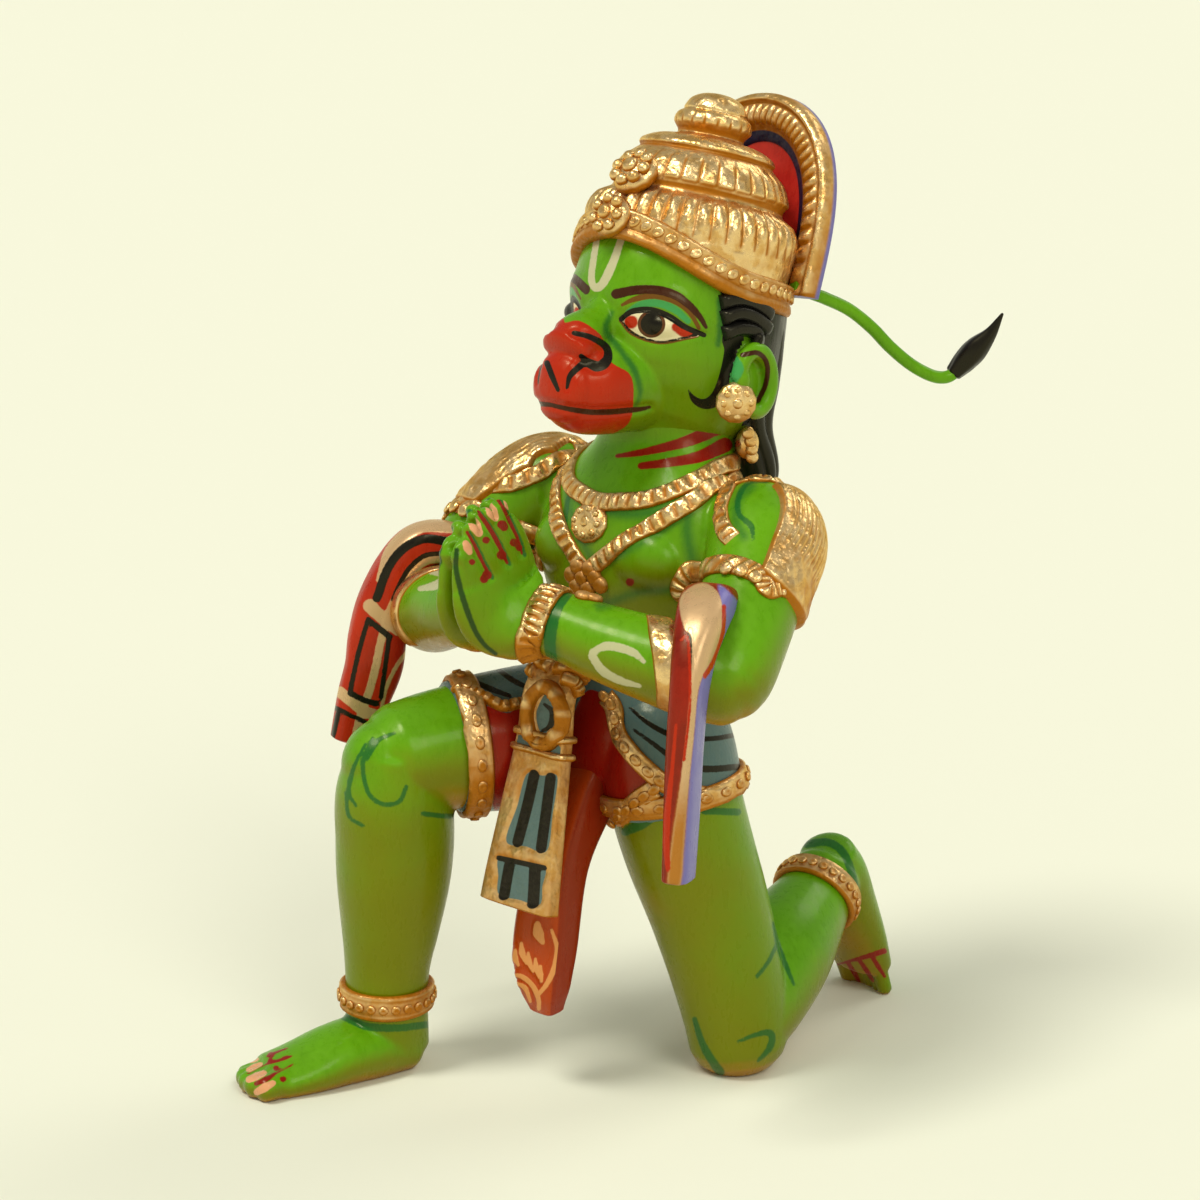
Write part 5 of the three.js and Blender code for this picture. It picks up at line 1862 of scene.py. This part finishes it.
    def arms(self) -> Shape:
        """Shoulder fans, ribbed armlets with three bosses and beaded bracelets.

        Returns:
            All of it as one surface.
        """
        skin = Shape.joined([self.trunk, self.hands])
        made = [self.shoulder(side) for side in Side]
        turn = np.arange(24) / 24 * TURN
        band = SIGHT.cast(self.armlet, self.trunk)
        turn_back, t_back = np.transpose(self.behind)
        behind = UPPER_ARM.point(np.radians(turn_back), t_back)
        armlet = np.vstack([band, behind])
        axis, centre = unit(np.array(self.wrist_axis)), np.array(self.wrist)
        first = unit(np.cross(axis, (0, 0, 1)))
        wrist = centre + self.wrist_reach * (np.cos(turn)[:, None] * first
                                 + np.sin(turn)[:, None] * np.cross(axis, first))
        border = SIGHT.cast(self.cuff, self.trunk)
        bosses = SIGHT.cast(self.bosses, self.trunk)
        for flip in (False, True):
            way = self.flip if flip else np.asarray
            made.append(self.armlet_band.along(way(armlet), self.trunk, True))
            centres, ups = place_on(way(bosses), self.trunk)
            made.append(beads(centres + ups * 1.1, ups, 2.2, 0.6, 0.3))
            bracelet = self.bracelet_band.along(way(wrist), skin, True)
            # Painted shade: the bracelet's lower side turns orange and dull
            low = smooth(self.wrist[2] + 1.0 - bracelet.points[:, 2], 0.0, 7.0)
            bracelet.marks["deep"] = np.clip(bracelet.marks["deep"] + 0.7 * low, 0, 1)
            made.append(bracelet)
            made.append(self.cuff_band.along(way(border), self.trunk))
        return Shape.joined(made)

    def anklets(self) -> Shape:
        """Two plain ridges with ring-like beads between them round each ankle.

        Returns:
            Both anklets as one surface.
        """
        skin = self.legs
        turn = np.arange(28) / 28 * TURN
        made = []
        for ring in (RIGHT_SHIN.point(turn, np.full(28, 0.745)), LEFT_SHIN.point(turn, np.full(28, 0.86))):
            made.append(self.anklet_band.along(ring, skin, True))
            made.append(beads_on(ring, skin, 24, 1.5, flat=0.7, ring=0.5, lift=2.1))
        return Shape.joined(made)

    def earrings(self) -> Shape:
        """A disc with a ring of beads under each ear and the knots that tie the hair at the neck.

        Returns:
            Both sides as one surface.
        """
        centre = np.array([self.disc])
        up = unit(np.array([self.disc_out]))
        angle = np.arange(8) / 8 * TURN
        side = np.cross(up[0], (0, 0, 1))
        ring = centre + up * 1.7 + 3.8 * (np.cos(angle)[:, None] * side + np.sin(angle)[:, None] * (0, 0, 1))
        knot = np.array(self.knots)
        left = Shape.joined([
            beads(centre, up, self.disc_radius, 0.42), beads(ring, np.tile(up, (8, 1)), 1.1, 0.5),
            beads(centre + up * 2.0, up, 1.6, 0.8, 0.3),
            Tube(((27, 9, 206, 2.6, 2.6), (33, 5.6, 206.2, 4, 4)), (0, 0, 1)).skin(24, 8, 0.5, 0.4),
            ball((23.4, 20.4, 191), (3.4, 3.6, 4.6)),
            beads(knot, unit(np.array([[0.9, -0.3, 0.1]] * 4)), 2.0, 0.8, 0.3)])
        return Shape.joined([left, left.mirrored()])

    def dress(self, gold: bpy.types.Material, low_gold: bpy.types.Material) -> None:
        """Gilds everything, the anklets with the duller gold of the cloth's hems.

        Args:
            gold: the gold leaf.
            low_gold: the duller gold.
        """
        for name, shape in (("chest_gold", self.chest()), ("arm_gold", self.arms()),
                            ("earrings", self.earrings())):
            dress(to_object(name, shape), gold)
        dress(to_object("anklets", self.anklets()), low_gold)


@dataclass
class Crown:
    """Tiers of gadroons on an axis that leans back, a beaded rim, and the arched plate behind."""

    base: tuple[float, float, float] = (0, 15, 232)
    lean: float = 16.5
    half: float = 36.5
    top: float = 66.0
    low: float = 5.0
    back: float = 26.0
    rim_count: int = 52
    rim_radius: float = 30.6
    rim_level: float = 4.4
    rim_bead: float = 1.6
    # Reach out and height of the rim's section
    rim_section: Track = (
        (-8.0, -3.4), (0.6, -3.9), (1.9, -3.7), (2.6, -3.2), (2.9, -2.4), (2.7, -1.4), (2.5, -0.7),
        (2.0, -0.2), (2.4, 0.4), (2.3, 3.4), (2.6, 4.0), (2.5, 4.7), (1.6, 5.1), (-1.0, 5.6),
        (-3.0, 5.2), (-8.0, 0.0))
    # Height, distance from the axis, radius, beads and tilt of the two flowers
    flowers: tuple = ((17.6, 33.9, 6.6, 7, 0.2), (31.4, 27.6, 7.4, 8, 0.55))
    # Inset from the outer edge and forward reach of the arch's section
    arch_section: Track = (
        (0.8, -0.4), (0.0, 0.6), (0.0, 4.4), (0.3, 5.6), (1.2, 6.6), (2.0, 6.8), (2.6, 6.2),
        (3.0, 5.2), (3.9, 5.8), (5.6, 6.6), (7.4, 6.8), (8.6, 6.4), (9.4, 5.4), (10.2, 4.2),
        (11.6, 3.4), (13.6, 2.6), (15.4, -0.2), (6.0, -0.6))
    arch_ribs: int = 38
    # Radius and height of the tiers' profile
    profile: Track = (
        (29.6, -1), (30.4, 3), (30.9, 8), (31.0, 11.6), (31.2, 14.0), (31.0, 17.5), (30.4, 20.4),
        (29.0, 23.6), (27.2, 26.4), (25.6, 28.4), (25.2, 29.8), (25.8, 31.2), (25.4, 33.4), (23.7, 37),
        (21.2, 40.2), (19.8, 41.6), (20.3, 42.8), (19.4, 44.2), (15.6, 46.0), (10.6, 47.0), (9.9, 48.4),
        (11.2, 50.4), (11.0, 53.2), (9.4, 54.6), (9.3, 55.6), (7.8, 58.2), (4.6, 60.0), (0.4, 60.7))

    def stand(self, points: Array) -> Array:
        """Crown coordinates turned back by the lean and set on the base.

        Args:
            points: points in the crown's own coordinates.

        Returns:
            The points in pose units.
        """
        angle = -math.radians(self.lean)
        x, y, z = np.moveaxis(np.asarray(points, float), -1, 0)
        turned = np.stack([x, y * math.cos(angle) - z * math.sin(angle),
                           y * math.sin(angle) + z * math.cos(angle)], axis=-1)
        return turned + self.base

    def turn(self, vectors: Array) -> Array:
        """Directions turned back by the lean."""
        return self.stand(vectors) - self.base

    @staticmethod
    def lift(angle: Array) -> Array:
        """How much higher the rim stands in front: 11 times the square of the front's share."""
        return 11 * np.maximum(0, -np.sin(angle)) ** 2

    def tiers(self) -> Shape:
        """The turned body: radius by height, plus petals whose section is a half round.

        Returns:
            The closed body.
        """
        high = np.linspace(0, 1, 150)[:, None]
        row = spline(self.profile, high)
        radius, z = row[..., 0], row[..., 1]
        angle = (np.arange(360) / 360 * TURN)[None, :]

        def petals(count: int, low: float, top: float, rise: float, square: float) -> tuple:
            share = np.abs(2 * np.mod(angle * count / TURN, 1) - 1)
            body = smooth(z, low, low + 1.2) * (1 - smooth(z, top - 3.0, top))
            return rise * body * (1 - share ** square), body * smooth(share, 0.62, 1.0)
        wide, wide_deep = petals(40, 15.0, 28.6, 2.0, 2.0)
        wide = wide * smooth(z, 14.0, 24.0)
        small, small_deep = petals(30, 31.0, 40.6, 0.9, 6.0)
        knob, knob_deep = petals(18, 49.6, 54.0, 0.35, 2.0)
        reach = radius + wide + small + knob
        level = np.maximum(z, 3.0 + self.lift(angle))
        ledge = np.exp(-((z - 29.6) / 0.9) ** 2) + np.exp(-((z - 41.4) / 0.7) ** 2) \
            + np.exp(-((z - 48.2) / 0.7) ** 2)
        grid = np.stack([np.cos(angle) * reach, np.sin(angle) * reach, level], axis=-1)
        grid[..., 1] = np.minimum(grid[..., 1], self.back - 2.5)
        deep = np.clip(wide_deep + small_deep + knob_deep + ledge, 0, 1)
        return lattice(self.stand(grid), deep=deep)

    def rim(self) -> Shape:
        """The rolled lower edge and the band above it, as one section carried round the head.

        Returns:
            The rim as a closed ring.
        """
        angle = (np.arange(360) / 360 * TURN)[:, None]
        section = np.array(self.rim_section)
        out, up = section[None, :, 0], section[None, :, 1]
        deep = np.array([1, 1, 1, 1, .9, .8, .8, 1, .6, .4, .4, .5, 1, 1, 1, 1])[None, :]
        reach = self.rim_radius + out
        grid = np.stack([np.cos(angle) * reach, np.sin(angle) * reach,
                         self.rim_level + self.lift(angle) + up], axis=-1)
        grid = np.concatenate([grid, grid[:1]])
        return lattice(self.stand(grid), poles=False, deep=np.broadcast_to(deep, (361, 16)))

    def rim_beads(self) -> Shape:
        """Slanted oval rings in a row on the band.

        Returns:
            All beads as one surface.
        """
        count = self.rim_count
        angle = np.arange(count) / count * TURN
        reach = self.rim_radius + 2.2
        centre = np.stack([np.cos(angle) * reach, np.sin(angle) * reach,
                           self.rim_level + 2.0 + self.lift(angle)], axis=-1)
        out = np.stack([np.cos(angle), np.sin(angle), np.full(count, 0.1)], axis=-1)
        slope = 0.9 + 22 * np.sin(angle) * np.cos(angle) / 32.6
        along = np.stack([-np.sin(angle), np.cos(angle), slope], axis=-1)
        return beads(self.stand(centre), unit(self.turn(out)), self.rim_bead, 0.8, 0.55,
                     self.turn(along), 1.25)

    def rosette(self, high: float, reach: float, size: float, count: int, tilt: float) -> Shape:
        """A domed boss with a bead in the middle and a ring of beads round it.

        Args:
            high: height of its middle in the crown's coordinates.
            reach: distance of its middle from the crown's axis.
            size: its radius.
            count: how many beads the ring has.
            tilt: how far it looks up, in radians.

        Returns:
            The boss as one surface.
        """
        up = unit(self.turn(np.array([0.0, -math.cos(tilt), math.sin(tilt)])))
        middle = self.stand(np.array([0.0, -reach, high]))
        side = np.array([1.0, 0.0, 0.0])
        over = np.cross(up, side)
        angle = np.arange(count) / count * TURN
        ring = middle + up * size * 0.34 + size * 0.68 * (
            np.cos(angle)[:, None] * side + np.sin(angle)[:, None] * over)
        return Shape.joined([
            beads(middle[None] - up * size * 0.1, up[None], size, 0.55),
            beads(ring, np.tile(up, (count, 1)), size * 0.27, 0.9),
            beads(middle[None] + up * size * 0.42, up[None], size * 0.34, 0.9, 0.35)])

    def arch_at(self, share: Array, inset: Array) -> tuple[Array, Array]:
        """The horseshoe's line: x = half cos s (0.86 + 0.14 sin s), z from low to top by sin s ^ 0.72.

        Args:
            share: place along the horseshoe, from 0 to 1.
            inset: distance in from its outer edge.

        Returns:
            The line's x and z.
        """
        swing = share * math.pi
        x = (self.half - inset) * np.cos(swing) * (0.86 + 0.14 * np.sin(swing))
        lift = np.abs(np.sin(swing)) ** 0.72
        return x, self.low + (self.top - inset - self.low) * lift

    def plate(self) -> Shape:
        """The arch: its section, as inset and forward reach, carried round the horseshoe.

        Returns:
            The arch as a closed surface.
        """
        share = np.linspace(0.004, 0.996, 340)[:, None]
        section = np.array(self.arch_section)
        inset, forward = section[None, :, 0], section[None, :, 1]
        ribbed = ((section[:, 0] > 3.9) & (section[:, 0] < 9.4) & (section[:, 1] > 5))[None, :]
        wave = np.abs(np.cos(share * math.pi * self.arch_ribs)) ** 0.7
        x, z = self.arch_at(share, inset)
        notch = np.where(ribbed, 1 - wave, 0.0)
        grid = np.stack([x, self.back - forward + 1.5 * notch, z], axis=-1)
        base = np.array([1, .6, .5, .4, .2, .2, .5, 1, .5, .2, .2, .4, .8, 1, 1, 1, 1, 1])[None, :]
        deep = np.clip(base + notch * 0.9, 0, 1)
        inner = np.where(section[:, 0] > 11.0, -0.6, 1.0)
        back = np.where(section[:, 1] < 0.8, -0.6, 1.0)
        return lattice(self.stand(grid), deep=deep, navy=np.broadcast_to(inner, notch.shape),
                       lining=np.broadcast_to(back, notch.shape))

    def web(self) -> Shape:
        """The plate's sheet inside the arch, from the arch's line to the middle of its foot.

        Returns:
            The sheet as a closed surface.
        """
        share = np.linspace(0.004, 0.996, 80)[:, None]
        fill = np.linspace(0, 1, 14)[None, :]
        x, z = self.arch_at(share, 9.5)
        x, z = x * (1 - fill), z + (self.low + 4 - z) * fill
        front = np.stack([x, np.full_like(x, self.back - 1.8), z], axis=-1)
        rear = np.stack([x, np.full_like(x, self.back + 0.3), z], axis=-1)
        grid = np.concatenate([front, rear[:, ::-1]], axis=1)
        lining = np.concatenate([np.ones((80, 14)), -np.ones((80, 14))], axis=1)
        return lattice(self.stand(grid), lining=lining)

    def dress(self, gold: bpy.types.Material, arch: bpy.types.Material, web: bpy.types.Material) -> None:
        """Gilds the crown and paints the recess of its plate.

        Args:
            gold: gold leaf of tiers and rim.
            arch: the arch's paint.
            web: the recess's paint.
        """
        dress(to_object("crown_tiers", self.tiers()), gold)
        trim = Shape.joined([self.rim(), self.rim_beads(), *(self.rosette(*f) for f in self.flowers)])
        dress(to_object("crown_rim", trim), gold)
        dress(to_object("crown_arch", self.plate()), arch)
        dress(to_object("crown_web", self.web()), web)


@dataclass
class Tail:
    """The bent rod in its socket and the flame-shaped tuft at its end."""

    rod: float = 0.0039
    mouth: tuple[float, float, float] = (27.2, 42.4, 233.6)
    leaving: tuple[float, float, float] = (0.3, 0.88, -0.37)
    path: Track = (
        (31.7, 55, 227.6), (35.2, 61, 222.1), (38.1, 66.5, 215.8), (41.4, 72.5, 210.2),
        (44.6, 78.5, 206.6), (46.8, 83, 206.2), (48.6, 86, 209), (50.4, 88, 212.4))
    tuft: Track = (
        (47.6, 84.6, 207.2, 2.5, 2.5), (49.6, 87.2, 210.8, 3.6, 3.4), (52.4, 89, 214.6, 3.7, 3.4),
        (56, 91, 219.4, 2, 1.9), (58.7, 92.8, 225, 0.5, 0.5))

    def build(self) -> Shape:
        """The rod along its path and the tuft with shallow flame grooves.

        Returns:
            Rod and tuft as one surface.
        """
        heading = unit(np.array(self.leaving))
        half = self.rod / 2 / UNIT
        straight = [tuple(np.array(self.mouth) + heading * far) for far in (-5.8, -2.9, 0, 3, 6)]
        rod = Tube(tuple((*place, half, half) for place in (*straight, *self.path)))
        flame = Tube(self.tuft)
        grooves = flame.skin(48, 50, 1, 0.6, lambda a, t: 0.22 * np.cos(5 * a + 4 * t) * (1 - t))
        stem = rod.skin(24, 160, 0.3, 0.3)
        stem.marks["tuft"] = np.full(len(stem.points), 1.0)
        grooves.marks["tuft"] = np.full(len(grooves.points), -1.0)
        return Shape.joined([stem, grooves])


@dataclass
class Stage:
    """Pale floor, soft studio light and the camera at the photograph's angle."""

    floor: float = 40.0
    pale: Colour = (0.855, 0.86, 0.69)
    horizon: Colour = (0.87, 0.87, 0.70)
    sky: float = 0.34
    # Name, direction, width in radians and power of each sun
    suns: tuple = (("key", (-0.15, -0.8, 1.5), 0.34, 1.6), ("fill", (1.0, -0.35, 0.9), 0.45, 0.8),
                   ("rim", (0.1, 1.0, 0.9), 0.5, 0.5))

    def camera(self) -> None:
        """Puts the camera on its line of sight to the aim point."""
        data = bpy.data.cameras.new("camera")
        data.sensor_width, data.lens, data.clip_start, data.clip_end = SIGHT.film, SIGHT.lens, 0.05, 60.0
        camera = bpy.data.objects.new("camera", data)
        camera.location = to_metres(SIGHT.eye())
        camera.rotation_euler = (math.pi / 2 - math.radians(SIGHT.elevation), 0.0,
                                 math.radians(SIGHT.azimuth))
        bpy.context.scene.collection.objects.link(camera)
        bpy.context.scene.camera = camera

    def sun(self, name: str, towards: tuple, wide: float, power: float) -> None:
        """A broad sun that shines evenly from a direction.

        Args:
            name: the lamp's name.
            towards: direction from the figure to the lamp.
            wide: the sun's width in radians.
            power: its strength on a square surface.
        """
        data = bpy.data.lights.new(name, "SUN")
        data.angle, data.energy, data.color = wide, power, (1.0, 0.985, 0.95)
        lamp = bpy.data.objects.new(name, data)
        run = -unit(np.array(towards, float))
        lamp.rotation_euler = (math.acos(-run[2]), 0.0, math.atan2(run[1], run[0]) - math.pi / 2)
        bpy.context.scene.collection.objects.link(lamp)

    def build(self) -> None:
        """Sets the floor, the sky, the lamps and the camera."""
        half = self.floor / 2
        mesh = bpy.data.meshes.new("floor")
        mesh.from_pydata([(-half, -half, 0), (half, -half, 0), (half, half, 0), (-half, half, 0)], [],
                         [(0, 1, 2, 3)])
        floor = bpy.data.objects.new("floor", mesh)
        bpy.context.scene.collection.objects.link(floor)
        n = Nodes("pale_floor")
        n.shader.inputs["Base Color"].default_value = (*self.pale, 1)
        n.shader.inputs["Roughness"].default_value = 1.0
        n.shader.inputs["Specular IOR Level"].default_value = 0.0
        mesh.materials.append(n.material)
        world = bpy.data.worlds.new("sky")
        world.use_nodes = True
        tree = world.node_tree
        place = tree.nodes.new("ShaderNodeTexCoord")
        split = tree.nodes.new("ShaderNodeSeparateXYZ")
        ramp = tree.nodes.new("ShaderNodeValToRGB")
        ramp.color_ramp.elements[0].position = 0.1
        ramp.color_ramp.elements[0].color = (*self.horizon, 1)
        ramp.color_ramp.elements[1].position = 0.45
        ramp.color_ramp.elements[1].color = (self.sky, self.sky, self.sky * 0.96, 1)
        tree.links.new(place.outputs["Generated"], split.inputs[0])
        tree.links.new(split.outputs["Z"], ramp.inputs["Fac"])
        tree.links.new(ramp.outputs["Color"], tree.nodes["Background"].inputs["Color"])
        bpy.context.scene.world = world
        bpy.context.scene.view_settings.view_transform = "Standard"
        for lamp in self.suns:
            self.sun(*lamp)
        self.camera()


def main() -> None:
    """Builds the figure piece by piece, then the stage."""
    logging.basicConfig(level=logging.INFO, format="%(name)s: %(message)s")
    strokes = (Layer("haze", SHADOW_TEAL, 1.8, 0.8, 0.7), Layer("teal", SHADOW_TEAL, 0.25, 0.5, 0.85),
               Layer("red", LINE_RED), Layer("nail", NAIL), Layer("cream", CREAM, 0.2, 0.6, 0.9),
               Layer("seam", SEAM_SHADE, 0.3, 0.4, 0.9))
    green = Enamel("green_enamel", LEAF_GREEN, DEEP_GREEN, strokes, warm=True).make()
    face = Enamel("face_enamel", LEAF_GREEN, DEEP_GREEN, (
        Layer("shade", SHADOW_TEAL, 0.8, 0.8, 0.75), Layer("muzzle", FACE_RED, 0.14, 0.3),
        Layer("teal", LID_TEAL, 0.3, 0.3), Layer("tilak", CREAM), Layer("lid", LID_RED, 0.15, 0.2, 0.85),
        Layer("white", EYE_WHITE, 0.08, 0.05), Layer("corner", FACE_RED, 0.35, 0.3),
        Layer("iris", IRIS_BROWN, 0.1, 0.05), Layer("brow", BROW_BROWN, 0.15, 0.3),
        Layer("black", BLACK, 0.1, 0.12)), warm=True).make()
    black = Enamel("black_enamel", HAIR_BLACK, BLACK).make()
    gold = GoldLeaf("gold_leaf").make()
    web = Enamel("recess_paint", RECESS_RED, RECESS_DARK,
                 (Layer("lining", LAVENDER),)).make()
    cloth = Enamel("hip_paint", CLOTH_BLUE, CLOTH_SHADE, (
        Layer("red", CLOTH_RED, 0.2, 0.4), Layer("stripes", BLACK, 0.15, 0.35))).make()
    board = GoldLeaf("panel_gold", ground_share=0.5, layers=(
        Layer("field", CLOTH_BLUE, 0.15), Layer("black", BLACK, 0.15))).make()
    low_gold = GoldLeaf("low_gold", ground_share=0.38).make()
    fold = Enamel("pleat_paint", PLEAT_RED, PLEAT_RED, (
        Layer("side", PLEAT_DARK, 0.4, 0.4), Layer("motif", MOTIF, 0.15, 0.3))).make()
    near = Enamel("near_drape_paint", NEAR_RED, NEAR_DARK, (
        Layer("outer", LAVENDER, 0.4, 0.5), Layer("dark", BLACK, 0.25, 0.4),
        Layer("gold", PALE_GILT, 0.3, 0.5, metal=0.3), Layer("low", ORANGE_GILT, 0.9, 0.5),
        Layer("line", FACE_RED, 0.2, 0.5))).make()
    far = Enamel("far_drape_paint", FAR_RED, FAR_DARK, (
        Layer("gold", PALE_GILT, 0.2, 0.4, metal=0.3), Layer("dark", BLACK, 0.15, 0.4))).make()
    trunk, legs, hands, head = Trunk(), Legs(), Hands(), Head()
    for part in (trunk, legs, hands, head):
        part.build()
    jewels = Jewels(trunk.skin, hands.skin, legs.skin)
    jewels.dress(gold, low_gold)
    for part in (trunk, legs, hands):
        part.dress(green)
    head.dress(face)
    hair = BackHair()
    dress(to_object("back_hair", hair.build()), black)
    dress(to_object("temple_locks", hair.temples(head.skin)), black)
    hips, panel = HipCloth(), FrontPanel()
    hips.build()
    hips.dress(cloth, low_gold)
    panel.build()
    panel.dress(board, low_gold)
    Pleats().dress(fold)
    for drape, paint_of in ((NearDrape(), near), (FarDrape(), far)):
        drape.build()
        drape.dress(paint_of)
    crown = Crown()
    crown.dress(gold, GoldLeaf("arch_gold", layers=(
        Layer("navy", NAVY, 0.3), Layer("lining", LAVENDER, 0.3))).make(), web)
    tail_paint = Enamel("tail_enamel", LEAF_GREEN, DEEP_GREEN, (Layer("tuft", BLACK),)).make()
    dress(to_object("bent_tail", Tail().build()), tail_paint, "tail")
    Stage().build()


if __name__ == "__main__":
    main()
